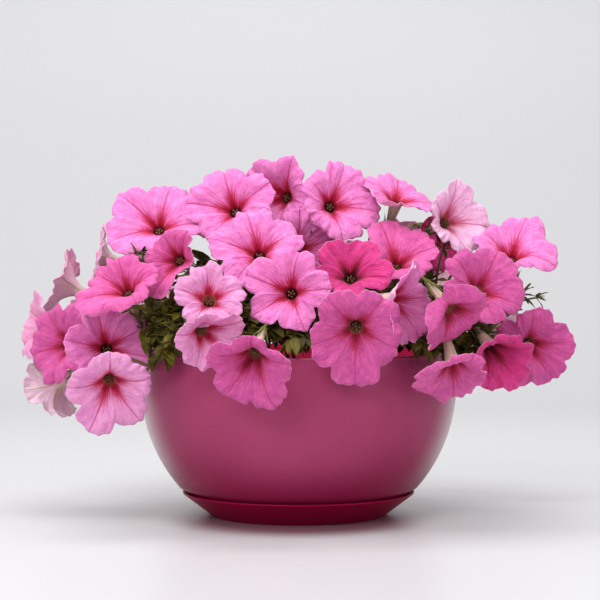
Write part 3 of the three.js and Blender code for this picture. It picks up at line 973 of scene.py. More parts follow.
FLOWERS = (
    flower(3, (-109, -41, 228), -6, 35, 11, ((0, 37), (79, 36), (142, 37), (209, 40), (300, 24)), FRESH),
    flower(4, (-50, -38, 242), -13, 25, 13, ((32, 33), (109, 34), (180, 35), (249, 33), (323, 34)), FRESH),
    flower(4, (-11, -18, 253), -30, 9, 13, ((66, 27), (140, 33), (207, 30), (287, 26), (342, 29)), FRESH,
           Fold(0, 0, 0.3, 0.10)),
    flower(4, (25.5, -40, 245.5), 17, 14, 12, ((70, 35), (134, 27), (206, 24), (276, 30), (348, 37)), FRESH),
    flower(4, (-30, -72, 208), -5, 30, 13, ((28, 35), (108, 37), (173, 34), (244, 35), (317, 35)), FRESH),
    flower(6, (39, -95, 191), -5, 32, 11, ((56, 28), (130, 28), (199, 27), (268, 24), (343, 32)), DEEP),
    flower(6, (75, -66, 200), 4, 42, 13, ((20, 32), (106, 39), (174, 24), (245, 27), (318, 28)), ROSE),
    flower(7, (77, -30, 250), 27, 57, 8, ((64, 36), (141, 29), (211, 30), (282, 34), (345, 41)), FRESH,
           Fold(2, -35, 0.45), Fold(3, -12, 0.5), Fold(4, 40, 0.4), Fold(0, 10, 0.5)),
    flower(7, (115, -40, 233), 26, 14, 13, ((80, 28), (142, 20), (215, 20), (286, 29), (350, 36)), BLUSH,
           Fold(4, 0, 0.3, 0.08)),
    flower(5, (-6, -100, 179), -12, 14, 12, ((1, 31), (76, 31), (162, 33), (220, 31), (295, 30)), FRESH,
           Fold(2, -18, 0.5), Fold(3, -26, 0.5), Fold(4, 0, 0.3, 0.08)),
    flower(1, (-66, -112, 174), 6, 22, 12, ((15, 27), (97, 23), (171, 26), (240, 25), (315, 25)), PALE),
    flower(1, (-70, -128, 151), 27, -17, 15, ((30, 26), (105, 17), (176, 26), (253, 25), (321, 29)), PALE),
    flower(5, (-32, -150, 135), -14, -33, 18, ((6, 29), (81, 24), (149, 30), (229, 32), (295, 35)), DUSKY),
    flower(6, (42, -135, 154), -1, -17, 15, ((52, 34), (127, 34), (195, 33), (269, 41), (338, 34)), DUSKY),
    flower(6, (70, -120, 174), 50, -4, 14, ((6, 28), (64, 31), (108, 30), (252, 33), (306, 33)), FRESH,
           Fold(2, -36, 0.4), Fold(3, -36, 0.4)),
    flower(8, (112, -130, 167), 40, -38, 14, ((14, 27), (75, 24), (140, 16), (203, 29), (264, 33)), DUSKY,
           Fold(2, 120, 0.1), Fold(4.5, 50, 0.35)),
    flower(8, (135, -90, 180), 21, 20, 12, ((58, 33), (130, 33), (196, 30), (285, 27), (333, 35)), DUSKY),
    flower(8, (164, -50, 205), -12, 43, 14, ((350, 36), (72, 38), (142, 31), (222, 20), (290, 20)), FRESH,
           Fold(0, 40, 0.3), Fold(3, -12, 0.3), Fold(4, -8, 0.3)),
    flower(8, (177, -60, 138), 8, -14, 14, ((13, 32), (94, 33), (155, 31), (232, 28), (306, 30)), DUSKY),
    flower(8, (144, -95, 138), 25, -33, 21, ((25, 26), (88, 23), (162, 29), (256, 23), (319, 30)), DEEP),
    flower(8, (114, -120, 127), 21, -59, 14, ((14, 21), (83, 29), (164, 33), (226, 33), (286, 32)), ROSE),
    flower(1, (-147, -66, 135.5), 8, 8, 13, ((346, 37), (28, 36), (105, 33), (170, 31), (250, 28)), FRESH),
    flower(2, (-181, -27, 137), -41, 11, 12, ((54, 32), (126, 31), (202, 33), (270, 33), (343, 32)), DUSKY),
    flower(1, (-140, -114, 113.5), 11, -25, 17, ((18, 30), (93, 31), (173, 31), (246, 36), (311, 34)), PALE,
           Fold(3, 0, 0.3, 0.08)),
    flower(2, (-196, 6, 101), -124, -32, 8, even(8, 26), FADED),
    flower(2, (-181, 10, 180), -98, 26, 15, ((20, 27), (92, 25), (160, 28), (230, 33), (296, 33)), FADED,
           Fold(1, 0, 0.3, 0.12)),
    flower(2, (-202, 13, 150), -60, 6, 13, even(8, 27), FADED),
    flower(1, (-129, -88, 180), -17, 42, 11, ((26, 27), (114, 25), (160, 32), (213, 39), (308, 23)), ROSE,
           Fold(4, 35, 0.4)),
    flower(3, (-153, 12, 203), -86, 9, 12, even(8, 27), FADED),
    flower(3, (-92, -76, 204), -27, 19, 9, ((350, 25), (58, 20), (122, 20), (196, 25), (250, 35)), ROSE,
           Fold(0, -75, 0.4)),
    flower(4, (-1, -40, 210), 24, 6, 12, even(18, 31), FRESH),
    flower(7, (117, 18, 223), 34, -16, 12, even(18, 28), DEEP),
    flower(4, (-62, 56, 232), -160, 42, 12, ((10, 26), (82, 33), (154, 33), (226, 33), (298, 26)), FRESH),
    flower(4, (16, 72, 236), 172, 40, 12, even(40, 33), ROSE),
    flower(7, (86, 62, 206), 146, 30, 12, even(25, 31), FRESH),
    flower(9, (-122, 58, 196), -142, 22, 12, even(55, 32), ROSE),
    flower(9, (-38, 124, 190), -168, 16, 12, even(30, 33), FRESH),
    flower(10, (50, 122, 186), 164, 18, 12, even(60, 33), ROSE),
    flower(10, (122, 98, 176), 142, 12, 12, even(15, 32), FRESH),
    flower(10, (154, 46, 164), 112, 10, 12, even(35, 32), PALE),
    flower(9, (-112, 110, 150), -146, -8, 12, even(20, 32), FRESH),
    flower(9, (-172, 66, 142), -122, -10, 12, even(50, 31), ROSE),
    flower(10, (4, 158, 144), 178, -20, 12, even(10, 32), ROSE),
    flower(10, (92, 148, 136), 156, -22, 12, even(40, 31), FRESH),
    flower(9, (-72, 156, 128), -164, -32, 12, even(55, 31), PALE),
    flower(10, (160, 100, 128), 130, -18, 12, even(25, 31), DEEP),
)


def lobe_at(u: float) -> tuple[int, float]:
    """Returns the number of the lobe before u, and the share of the way to the next one."""
    return int(u * LOBES) % LOBES, u * LOBES - int(u * LOBES)


# the waves along the edge of a limb: how many go round it, and their height as a share of its reach
EDGE_WAVES = ((4, 0.018), (9, 0.012), (22, 0.011), (33, 0.009))
# the waves that lift a limb towards its edge: how many go round it, and their height in millimetres
LIMB_WAVES = ((2, 1.4), (3, 1.2), (4, 0.9), (7, 0.7), (11, 0.5), (17, 0.5), (26, 0.4))
# the samples of the smooth curve that the limb's rows are read from
CURVE_SAMPLES = 60


@dataclass
class Corolla:
    """A flower's tube and limb, with its anthers.

    Attributes:
        number: The flower's number, from 1.
        flower: Its place and shape.
        columns: The faces around it.
        rows: The faces from the tube's base to the edge.
        tube_length: The length of its tube.
        tube_radius: The tube's radius at its base.
        throat_radius: Its radius where the limb begins.
        throat_depth: How far the limb begins behind the throat's plane.
        thickness: The thickness of its skin.
        groove: The depth of the valley along each midvein.
        groove_width: How far that valley reaches to each side.
        anther_size: Half the width and half the length of an anther.
        anther_ring: The radius of the ring that the anthers stand in.
        anther_depth: How deep they stand in the throat.
        stigma_depth: How deep the stigma stands there.
        filament_radius: The radius of their stalks.
    """

    number: int
    flower: Flower
    columns: int = 180
    rows: int = 30
    tube_length: float = 30
    tube_radius: float = 2.0
    throat_radius: float = 4.8
    throat_depth: float = 3
    thickness: float = 0.35
    groove: float = 1.0
    groove_width: float = 2.4
    anther_size: Pair = (0.85, 1.4)
    anther_ring: float = 2.3
    anther_depth: float = 4.2
    stigma_depth: float = 3.4
    filament_radius: float = 0.3
    _draws: dict[str, list[float]] = field(default_factory=dict, repr=False)

    def __post_init__(self) -> None:
        """Draws what differs from flower to flower."""
        dice = random.Random(self.number * 97 + 5)
        ranges = {"notch": (0.15, 0.28, LOBES), "width": (0.16, 0.30, LOBES), "tip": (-0.05, 0.07, LOBES),
                  "tilt": (-4.2, 3.2, LOBES), "reflex": (2, 58, LOBES), "phase": (0, FULL_TURN, 9),
                  "size": (0.55, 1.3, 9)}
        self._draws = {name: [dice.uniform(low, high) for _ in range(count)]
                       for name, (low, high, count) in ranges.items()}
        self._draws["pleat"] = [dice.choice((-1, 1)) * dice.uniform(0.4, 1.4) for _ in range(LOBES)]
        self._draws["puff"] = [dice.uniform(0.1, 0.9) for _ in range(LOBES)]

    def drawn(self, name: str, u: float) -> float:
        """Blends a value that was drawn for each lobe.

        Args:
            name: The value's name.
            u: The place around the limb, from 0 to 1.

        Returns:
            The value there, between those of the lobe before it and the next one.
        """
        lobe, share = lobe_at(u)
        values = self._draws[name]
        return mix(values[lobe], values[(lobe + 1) % LOBES], ease(share, 0, 1))

    def edge(self, u: float) -> Pair:
        """Shapes the limb's outline: its lobes, their notches and tips, and the waves along it.

        Args:
            u: The place around the limb, from 0 to 1.

        Returns:
            The angle and the reach of the edge there.
        """
        lobe, share = lobe_at(u)
        following = (lobe + 1) % LOBES
        (angle, reach), (next_angle, next_reach) = self.flower.lobes[lobe], self.flower.lobes[following]
        turn = math.radians(angle + (next_angle - angle) % 360 * share)
        draws = self._draws
        middle = abs(2 * share - 1)
        factor = 1.03 - draws["notch"][lobe] * math.exp(-(middle / draws["width"][lobe]) ** 1.3)
        tip = draws["tip"][lobe if share < 0.5 else following]
        factor += tip * math.exp(-(min(share, 1 - share) / 0.11) ** 2)
        for fold in self.flower.folds:
            factor += fold.point * math.exp(-(fold.away(u) / 0.10) ** 2)
        for k, (count, size) in enumerate(EDGE_WAVES):
            factor += size * draws["size"][k] * math.sin(count * turn + draws["phase"][k])
        return turn, mix(reach, next_reach, ease(share, 0, 1)) * factor

    def column(self, u: float) -> Outline:
        """Shapes the skin from the tube's base to the edge.

        Args:
            u: The place around the flower, from 0 to 1.

        Returns:
            The (radius, height) points there.
        """
        turn, reach = self.edge(u)
        first = round(self.rows * TUBE_SHARE)
        start = (self.throat_radius, -self.throat_depth)
        skin = []
        for row in range(first):
            s = row / first
            skin.append((mix(self.tube_radius, start[0], s ** 1.4), mix(-self.tube_length, start[1], s)))
        end = (reach, self.flower.cup + self.drawn("tilt", u))
        limb = self.bent(self.even_limb(start, end, self.rows - first), u)
        last = len(limb) - 1
        for row, (radius, height) in enumerate(limb):
            ahead, behind = limb[min(row + 1, last)], limb[max(row - 1, 0)]
            run = math.hypot(ahead[0] - behind[0], ahead[1] - behind[1]) or 1
            lift = self.lift(u, turn, row / last, radius)
            skin.append((radius - (ahead[1] - behind[1]) / run * lift,
                         height + (ahead[0] - behind[0]) / run * lift))
        return skin

    def even_limb(self, start: Pair, end: Pair, count: int) -> Outline:
        """Runs the limb's smooth curve from the throat to the edge.

        Args:
            start: The (radius, height) of its start.
            end: Those of its edge.
            count: The number of rows.

        Returns:
            The points, one more than the rows, and closer together near the throat.
        """
        rise = self.flower.cup + self.throat_depth
        leave = (0.62 * rise, 1.5 * rise)
        arrive = (1.15 * (end[0] - start[0]), 0.10 * rise)
        curve = []
        for step in range(CURVE_SAMPLES + 1):
            s = step / CURVE_SAMPLES
            a, b = 2 * s ** 3 - 3 * s * s + 1, s ** 3 - 2 * s * s + s
            c, d = -2 * s ** 3 + 3 * s * s, s ** 3 - s * s
            curve.append(tuple(a * start[i] + b * leave[i] + c * end[i] + d * arrive[i] for i in (0, 1)))
        points, step = [], 0
        for row in range(count + 1):
            radius = mix(start[0], end[0], (row / count) ** LIMB_SPREAD)
            while step < CURVE_SAMPLES - 1 and curve[step + 1][0] < radius:
                step += 1
            (r0, z0), (r1, z1) = curve[step], curve[step + 1]
            points.append((radius, mix(z0, z1, min(1.0, max(0.0, (radius - r0) / (r1 - r0))))))
        return points

    def bent(self, points: Outline, u: float) -> Outline:
        """Bends the limb's curve back towards its edge, and where the lobe is folded.

        Args:
            points: The smooth curve.
            u: The place around the limb, from 0 to 1.

        Returns:
            The bent curve.
        """
        limb = [points[0]]
        for row in range(1, len(points)):
            s = (row - 0.5) / (len(points) - 1)
            bend = self.drawn("reflex", u) * ease(s, 0.62, 1.1)
            for fold in self.flower.folds:
                bend += fold.bend * ease(fold.away(u), 0.95, 0.25) * ease(s, fold.crease, fold.crease + 0.4)
            angle = -math.radians(bend)
            dr, dz = points[row][0] - points[row - 1][0], points[row][1] - points[row - 1][1]
            limb.append((limb[-1][0] + dr * math.cos(angle) - dz * math.sin(angle),
                         limb[-1][1] + dr * math.sin(angle) + dz * math.cos(angle)))
        return limb

    def lift(self, u: float, turn: float, s: float, radius: float) -> float:
        """Works out how far the limb's grooves, puffs, pleats and waves lift it off its curve.

        Args:
            u: The place around the limb, from 0 to 1.
            turn: Its angle, in radians.
            s: The share of the way from the throat to the edge.
            radius: The radius there.

        Returns:
            The lift, in millimetres.
        """
        lobe, share = lobe_at(u)
        draws = self._draws
        lateral = min(share, 1 - share) * FULL_TURN / LOBES
        lift = -self.groove * math.sqrt(s) * math.exp(-(lateral * radius / self.groove_width) ** 2)
        lift += self.drawn("puff", u) * s ** 1.4 * (1 - math.cos(4 * math.pi * share)) / 2
        lift += (draws["pleat"][lobe] * s ** 2.4 * math.tanh((share - 0.5) / 0.05)
                 * math.exp(-((share - 0.5) / 0.16) ** 2))
        for k, (count, size) in enumerate(LIMB_WAVES):
            wave = math.sin(count * turn + draws["phase"][k] + 1.3 * k * s)
            lift += s ** 1.9 * size * draws["size"][k] * wave
        spot = Vector((radius * math.cos(turn), radius * math.sin(turn), 7.3 * self.number))
        return lift + s ** 1.2 * (1.5 * noise.noise(spot * 0.085) + 0.95 * noise.noise(spot * 0.21))

    def build(self, face: Material, back: Material) -> Piece:
        """Builds the corolla.

        Args:
            face: The material of the limb's face.
            back: The material of its back.

        Returns:
            The piece.
        """
        axes = self.flower.axes
        around = [(k % self.columns) / self.columns for k in range(self.columns + 1)]
        columns = [self.column(u) for u in around]
        turns = [self.edge(u)[0] for u in around]

        def place(u: float, v: float) -> Vector:
            """Returns the skin's place at u around it and v along it."""
            k = round(u * self.columns)
            radius, height = columns[k][round(v * self.rows)]
            return axes.at(radius * math.cos(turns[k]), radius * math.sin(turns[k]), height)

        bm = new_mesh()
        sheet(bm, self.columns, self.rows, place)
        close_up(bm, outwards=False)
        bmesh.ops.reverse_faces(bm, faces=bm.faces)
        piece = finished(bm, f"corolla_{self.number:02d}", (face, back),
                         (f"bloom_{self.number:02d}",))
        thickened(piece, self.thickness, back=1)
        return piece

    def heart(self, material: Material) -> Piece:
        """Builds the anthers and the stigma inside the throat.

        Args:
            material: Their material.

        Returns:
            The piece.
        """
        axes = self.flower.axes
        dice = random.Random(self.number * 31 + 7)
        wide, tall = self.anther_size
        bm = new_mesh()
        for k in range(LOBES + 1):
            turn = FULL_TURN * k / LOBES + dice.uniform(-0.3, 0.3)
            ring = 0 if k == LOBES else self.anther_ring
            depth = -self.stigma_depth if k == LOBES else dice.uniform(-0.6, 0.6) - self.anther_depth
            made = bmesh.ops.create_uvsphere(bm, u_segments=8, v_segments=6, radius=1, calc_uvs=True)
            middle = (ring * math.cos(turn), ring * math.sin(turn), depth)
            for vert in made["verts"]:
                x, y, z = vert.co
                vert.co = axes.at(middle[0] + wide * x, middle[1] + wide * y, depth + tall * z) * MM
            foot = axes.at(0.5 * math.cos(turn), 0.5 * math.sin(turn), -self.tube_length + 2)
            rod(bm, [foot, axes.at(*middle)], lambda s: self.filament_radius, 5)
        close_up(bm)
        return finished(bm, f"anthers_{self.number:02d}", (material,))


# The green parts

# where each shoot leaves the crown, in degrees about +Z
SHOOT_ANGLES = (205, 172, 146, 106, 262, 298, 20, 338, 128, 62)
# the points that the stems of each shoot pass on their way out, one row for each branch
STEMS = (
    (((-45, -30, 156), (-90, -40, 156), (-128, -22, 136), (-146, -8, 124)),
     ((-45, -30, 156), (-62, -58, 150), (-88, -76, 140), (-112, -78, 122))),
    (((-55, 8, 164), (-105, 14, 166), (-142, 22, 148), (-160, 22, 128)),),
    (((-32, 10, 165), (-70, 14, 188), (-104, 24, 190)),),
    (((-12, 12, 165), (-14, 20, 198), (2, 30, 226)),),
    (((-5, -40, 150), (-12, -76, 154), (-20, -100, 146)),),
    (((22, -38, 148), (40, -66, 148), (58, -92, 142)),),
    (((36, 10, 165), (62, 12, 190), (90, 26, 206)),),
    (((50, -18, 158), (95, -28, 166), (138, -10, 160), (160, 2, 148)),
     ((50, -18, 158), (78, -52, 164), (98, -80, 160))),
    (((-40, 32, 156), (-78, 44, 160), (-116, 42, 150)),
     ((-40, 32, 156), (-42, 66, 162), (-52, 96, 152))),
    (((36, 36, 156), (76, 52, 160), (112, 54, 148)),
     ((36, 36, 156), (36, 72, 160), (44, 98, 152))),
)


@dataclass(frozen=True)
class Tuft:
    """A side shoot with a tuft of leaves at its tip.

    Attributes:
        tip: The place of the tip, in millimetres.
        towards: The direction that the tuft faces.
        leaves: The number of its leaves.
        length: The length of its longest leaf.
        spread: How far the leaves open from the tuft's direction, in degrees.
        slim: The leaves' width as a share of the usual one.
        bold: Whether its leaves may stand in front of a flower.
    """

    tip: Triple
    towards: Triple
    leaves: int = 7
    length: float = 30
    spread: float = 66
    slim: float = 1.0
    bold: bool = False


def ring_of_tufts(radius: float, height: float, step: float, lift: float, first: float, pitch: float,
                  count: int) -> list[Tuft]:
    """Sets tufts in an arc round the back of the plant, at two heights by turns.

    Args:
        radius: The arc's radius.
        height: The height of the lower tufts.
        step: How much higher the others are.
        lift: How far they look up, as a share of how far they look out.
        first: The angle of the first tuft, in degrees about +Z.
        pitch: The angle from one to the next.
        count: The number of tufts.

    Returns:
        The tufts.
    """
    tufts = []
    for k in range(count):
        turn = math.radians(first + pitch * k)
        tufts.append(Tuft((radius * math.cos(turn), radius * math.sin(turn), height + step * (k % 2)),
                          (math.cos(turn), math.sin(turn), lift)))
    return tufts


# the tufts that show at the front, and two arcs of them at the back
FRONT_TUFTS = (
    Tuft((-125, -64, 207), (-0.1, -0.95, 0.2), 10, 12, 78, 0.62, True),
    Tuft((-119, -62, 209), (0.3, -0.8, 0.5), 6, 10, 60, 0.6, True),
    Tuft((-62, -48, 203), (0, -0.9, 0.4), 7, 15, 62, 0.6),
    Tuft((-78, -60, 199), (-0.2, -0.9, 0.2), 5, 16, 60, 0.6),
    Tuft((10, -46, 226), (0.1, -0.8, 0.6), 5, 15, 50, 0.45),
    Tuft((-104, -92, 160), (-0.2, -0.9, 0.1), 7, 32, 66),
    Tuft((-112, -90, 146), (-0.3, -0.9, -0.2), 7, 27, 58),
    Tuft((-94, -104, 148), (0, -0.9, -0.25), 7, 26, 56),
    Tuft((-100, -98, 140), (-0.1, -0.9, -0.3), 6, 24, 54),
    Tuft((-120, -80, 152), (-0.4, -0.8, 0.0)),
    Tuft((-88, -90, 166), (0.1, -0.9, 0.3), 7, 28, 66),
    Tuft((-84, -84, 150), (0.0, -0.9, 0.0), 7, 32, 66),
    Tuft((-56, -96, 158), (0, -0.9, 0.2)),
    Tuft((-38, -104, 162), (0, -0.9, 0.2)),
    Tuft((-44, -108, 148), (-0.1, -0.9, -0.1), 7, 30, 62),
    Tuft((-20, -108, 154), (0.1, -0.95, 0.0), 7, 30, 62),
    Tuft((-28, -92, 166), (0.1, -0.95, 0.2), 7, 28, 66),
    Tuft((4, -104, 152), (0.1, -0.95, 0.0), 7, 30, 62),
    Tuft((14, -100, 162), (0.1, -0.95, 0.2), 7, 26, 66),
    Tuft((2, -84, 172), (0.1, -0.95, 0.3), 7, 26, 66),
    Tuft((-4, -117, 143), (-0.1, -0.35, -0.9), 7, 18, 42, 0.9, True),
    Tuft((5, -116, 144), (0.1, -0.35, -0.9), 7, 18, 42, 0.9, True),
    Tuft((-40, -84, 167), (0, -0.9, 0.2), 7, 10, 66, 1.0, True),
    *(Tuft((-56 + 5 * k, -99, 147 - 2 * (k % 3)), (0.1 * (k % 3 - 1), -0.7, -0.1), 7, 12, 66, 1.0, True)
      for k in range(15)),
    Tuft((-100, -101, 136), (-0.1, -0.9, -0.2), 8, 21, 64),
    Tuft((-112, -96, 132), (-0.2, -0.9, -0.1), 7, 16, 64),
    Tuft((-52, -112, 140), (-0.1, -0.9, -0.2), 6, 28, 60),
    Tuft((84, -98, 148), (0.1, -0.95, -0.1), 7, 26, 62),
    Tuft((92, -102, 144), (0.1, -0.9, -0.3), 7, 22, 56),
    *(Tuft((-62 + 6.5 * k, -110, 152 + 5 * (k % 3)), (0.05, -0.95, 0.1), 7, 13, 68) for k in range(13)),
    *(Tuft((112 + 8 * k, -88 + 3 * k, 134 + 8 * (k % 2)), (0.3, -0.9, 0), 7, 18, 66) for k in range(6)),
    Tuft((100, -88, 152), (0.2, -0.9, 0.0), 7, 30, 62),
    Tuft((114, -82, 146), (0.2, -0.9, 0.0), 7, 30, 62),
    Tuft((128, -78, 148), (0.3, -0.9, 0.0), 7, 32, 62),
    Tuft((140, -64, 156), (0.3, -0.9, 0.2), 7, 30, 62),
    Tuft((148, -66, 148), (0.4, -0.85, 0.1), 7, 30, 62),
    Tuft((96, -84, 168), (0.2, -0.9, 0.2), 6, 26, 62),
    Tuft((113, -44, 213), (0.1, -0.9, 0.3), 7, 12, 66, 0.6, True),
    Tuft((176, -42, 176), (0.75, -0.6, 0.1), 7, 19, 62, 0.6),
    Tuft((188, -34, 174), (0.9, -0.4, 0.1), 7, 12, 58, 0.5),
    *(Tuft((-62 + 7.5 * k, -104 + 3 * (k % 3), 150 + 6 * (k % 4)), (0.05, -0.95, 0.25 - 0.2 * (k % 3)),
           7, 19, 66) for k in range(11)),
    *(Tuft((-116 + 8 * k, -96 + 4 * (k % 2), 146 + 8 * (k % 3)), (-0.1, -0.95, 0.1 * (k % 3)), 7, 20, 66)
      for k in range(6)),
    *(Tuft((80 + 9 * k, -98 + 2.5 * k, 138 + 7 * (k % 3)), (0.15, -0.95, 0.1 * (k % 3) - 0.2), 7, 21, 64)
      for k in range(8)),
    *ring_of_tufts(106, 145, 7, 0.1, 4, 11.5, 16),
    *ring_of_tufts(74, 168, 6, 0.5, 20, 15.5, 10),
)


@dataclass
class LeafShape:
    """A leaf's blade.

    Attributes:
        length: Its length.
        width: Its greatest width.
        fold: How far each half rises from the midrib, as a share of the half width.
        droop: How far the tip hangs, as a share of the length.
        wave: The height of the waves along its edge, as a share of the width.
        phase: Where the waves start.
    """

    length: float
    width: float
    fold: float = 0.28
    droop: float = 0.22
    wave: float = 0.05
    phase: float = 0.0

    def half_width(self, v: float) -> float:
        """Shapes the blade's outline: a slim foot, a broad middle and a pointed tip.

        Args:
            v: The share of the way from the foot to the tip.

        Returns:
            Half the width there.
        """
        if v > 0.999:
            return 0.02
        swell = max(0.0, (v - 0.08) / 0.92)
        return self.width / 2 * max(0.07, math.sin(math.pi * swell ** 0.82) ** 0.85)

    def add(self, bm: BMesh, base: Vector, heading: Vector, normal: Vector, slot: int) -> None:
        """Adds the blade to a mesh.

        Args:
            bm: The mesh.
            base: The place of the leaf's foot.
            heading: The direction it grows along.
            normal: The direction its face looks along.
            slot: The material slot.
        """
        across = heading.cross(normal).normalized()
        normal = across.cross(heading).normalized()

        def place(u: float, v: float) -> Vector:
            """Shapes the blade.

            Args:
                u: The share of the way across it.
                v: The share of the way along it.

            Returns:
                The place there.
            """
            s = 2 * u - 1
            half = self.half_width(v)
            lift = self.fold * abs(s) ** 1.3 * half - self.droop * self.length * v * v
            lift += self.wave * self.width * s * s * math.sin(9 * v + self.phase + 1.5 * s)
            along = self.length * v * (1 - 0.12 * self.droop * v)
            return base + heading * along + across * (s * half) + normal * lift

        sheet(bm, 6, 8, place, slot)


def sepal_width(share: float) -> float:
    """Returns half a sepal's width in millimetres at a share of its length."""
    swell = math.sin(math.pi * min(1, share * 1.25)) if share < 0.8 else 0
    return mix(1.0, 1.55, swell) * (1 - share ** 3) + 0.05


# the cup that a corolla sits in: how far each ring lies behind the throat, and its radius
CALYX_CUP = ((-34.6, 1.1), (-33.6, 2.0), (-32, 2.6), (-30.5, 2.7), (-29.4, 2.3))


def anywhere(_: Vector) -> bool:
    """Calls every place clear, for leaves that may stand in front of a flower."""
    return True


@dataclass
class Shoot:
    """One shoot: its stems, flower stalks, calyces, side shoots and leaves.

    Attributes:
        number: Its number, from 1.
        crown_reach: How far from the pot's axis its first stem starts.
        seat_height: The height of that start.
        knee_height: The height of its first bend.
        knee_share: How far out that bend lies, as a share of the first point that the stem passes.
        stem_radius: The radius of a stem at its foot.
        stalk_radius: The radius of a flower stalk.
        stalk_end: How far behind a flower's throat its stalk ends.
        elbow: How far behind it the stalk makes for.
        sepal_foot: How far behind it the sepals start.
        leaf_spacing: The distance from leaf to leaf along a stem.
        leaf_width: A leaf's usual width as a share of its length.
    """

    number: int
    crown_reach: float = 9.98
    seat_height: float = 118
    knee_height: float = 122.5
    knee_share: float = 0.7
    stem_radius: float = 1.7
    stalk_radius: float = 0.95
    stalk_end: float = 33.3
    elbow: float = 48
    sepal_foot: float = 31.2
    leaf_spacing: float = 11
    leaf_width: float = 0.52
    paths: list[list[Vector]] = field(default_factory=list)

    def __post_init__(self) -> None:
        """Runs the stems' middle lines."""
        angle = math.radians(SHOOT_ANGLES[self.number - 1])
        x, y = self.crown_reach * math.cos(angle), self.crown_reach * math.sin(angle)
        for branch, points in enumerate(STEMS[self.number - 1]):
            line = [Vector(point) for point in points]
            if branch == 0:
                knee = Vector((self.knee_share * line[0].x, self.knee_share * line[0].y, self.knee_height))
                line = [Vector((x, y, self.seat_height)), knee, *line]
            self.paths.append(smooth_path(line, 5))

    def nearest(self, place: Vector) -> Vector:
        """Returns the point of the shoot's stems nearest to a place, past the bare foot."""
        points = [point for path in self.paths for point in path[len(path) // 5:]]
        return min(points, key=lambda point: (point - place).length)

    def add_stems(self, bm: BMesh) -> None:
        """Adds the stems to a mesh."""
        for path in self.paths:
            rod(bm, path, lambda s: self.stem_radius * (1 - 0.35 * s), 10)

    def add_stalk(self, bm: BMesh, axes: Axes, number: int) -> None:
        """Adds one flower's stalk and calyx to a mesh.

        Args:
            bm: The mesh.
            axes: The flower's axes.
            number: The flower's number.
        """
        end, elbow = axes.at(0, 0, -self.stalk_end), axes.at(0, 0, -self.elbow)
        start = self.nearest(elbow)
        reach = (start - end).length
        leave = start.lerp(elbow, 0.4) + UP * (0.08 * reach)
        arrive = end - axes.forward * min(0.45 * reach, 16)
        rod(bm, bezier(start, leave, arrive, end, 10), lambda s: self.stalk_radius * (1 + 0.25 * s), 8)
        rod(bm, [axes.at(0, 0, z) for z, _ in CALYX_CUP], lambda s: CALYX_CUP[round(4 * s)][1], 10)
        dice = random.Random(number * 13 + 1)
        for k in range(LOBES):
            turn = FULL_TURN * (k + 0.5) / LOBES + dice.uniform(-0.15, 0.15)
            out = axes.right * math.cos(turn) + axes.up * math.sin(turn)
            lean = dice.uniform(0.75, 1.35)
            length = dice.uniform(13, 17)
            path = []
            for row in range(7):
                s = row / 6
                spine = axes.at(0, 0, length * s - self.sepal_foot)
                path.append(spine + out * (2.3 + 5.2 * lean * s ** 1.5))
            rod(bm, path, sepal_width, 6, 0.32, out)

    def add_leaves(self, bm: BMesh, clear: Test) -> None:
        """Adds the leaves along the stems.

        Args:
            bm: The mesh.
            clear: Says whether a place is clear of the flowers' faces.
        """
        dice = random.Random(self.number * 71)
        for branch, path in enumerate(self.paths):
            reach, k = 0.0, 0
            for before, point in zip(path[2:], path[3:]):
                reach += (point - before).length
                if reach < self.leaf_spacing:
                    continue
                reach = 0
                k += 1
                tangent = (point - before).normalized()
                side = tangent.cross(UP).normalized()
                over = side.cross(tangent)
                angle = GOLDEN_ANGLE * k + branch
                heading = side * math.cos(angle) + over * (0.55 * math.sin(angle)) + tangent * 0.55
                self.leaf(bm, point, heading.normalized(), dice.uniform(28, 42), dice, clear)

    def leaf(self, bm: BMesh, base: Vector, heading: Vector, length: float,
             dice: random.Random, clear: Test, slim: float = 1.0) -> None:
        """Adds one leaf where it keeps clear of the flowers.

        Args:
            bm: The mesh.
            base: The place of its foot.
            heading: The direction it grows along.
            length: Its length.
            dice: Draws its shape and its green.
            clear: Says whether a place is clear of the flowers' faces.
            slim: Its width as a share of the usual one.
        """
        across = heading.cross(UP)
        across = across.normalized() if across.length > PARALLEL else Vector((1, 0, 0))
        normal = Matrix.Rotation(dice.uniform(-0.35, 0.35), 3, heading) @ across.cross(heading)
        width = length * self.leaf_width * slim * dice.uniform(0.85, 1.15)
        shape = LeafShape(length, width, dice.uniform(0.12, 0.4), dice.uniform(0.1, 0.34),
                          dice.uniform(0.03, 0.08), dice.uniform(0, 6))
        slot = 0 if dice.random() < 0.6 else 1
        if all(clear(base + heading * (length * share) - normal * (shape.droop * length * share ** 2))
               for share in (0.1, 0.4, 0.7, 1.0)):
            shape.add(bm, base, heading, normal, slot)

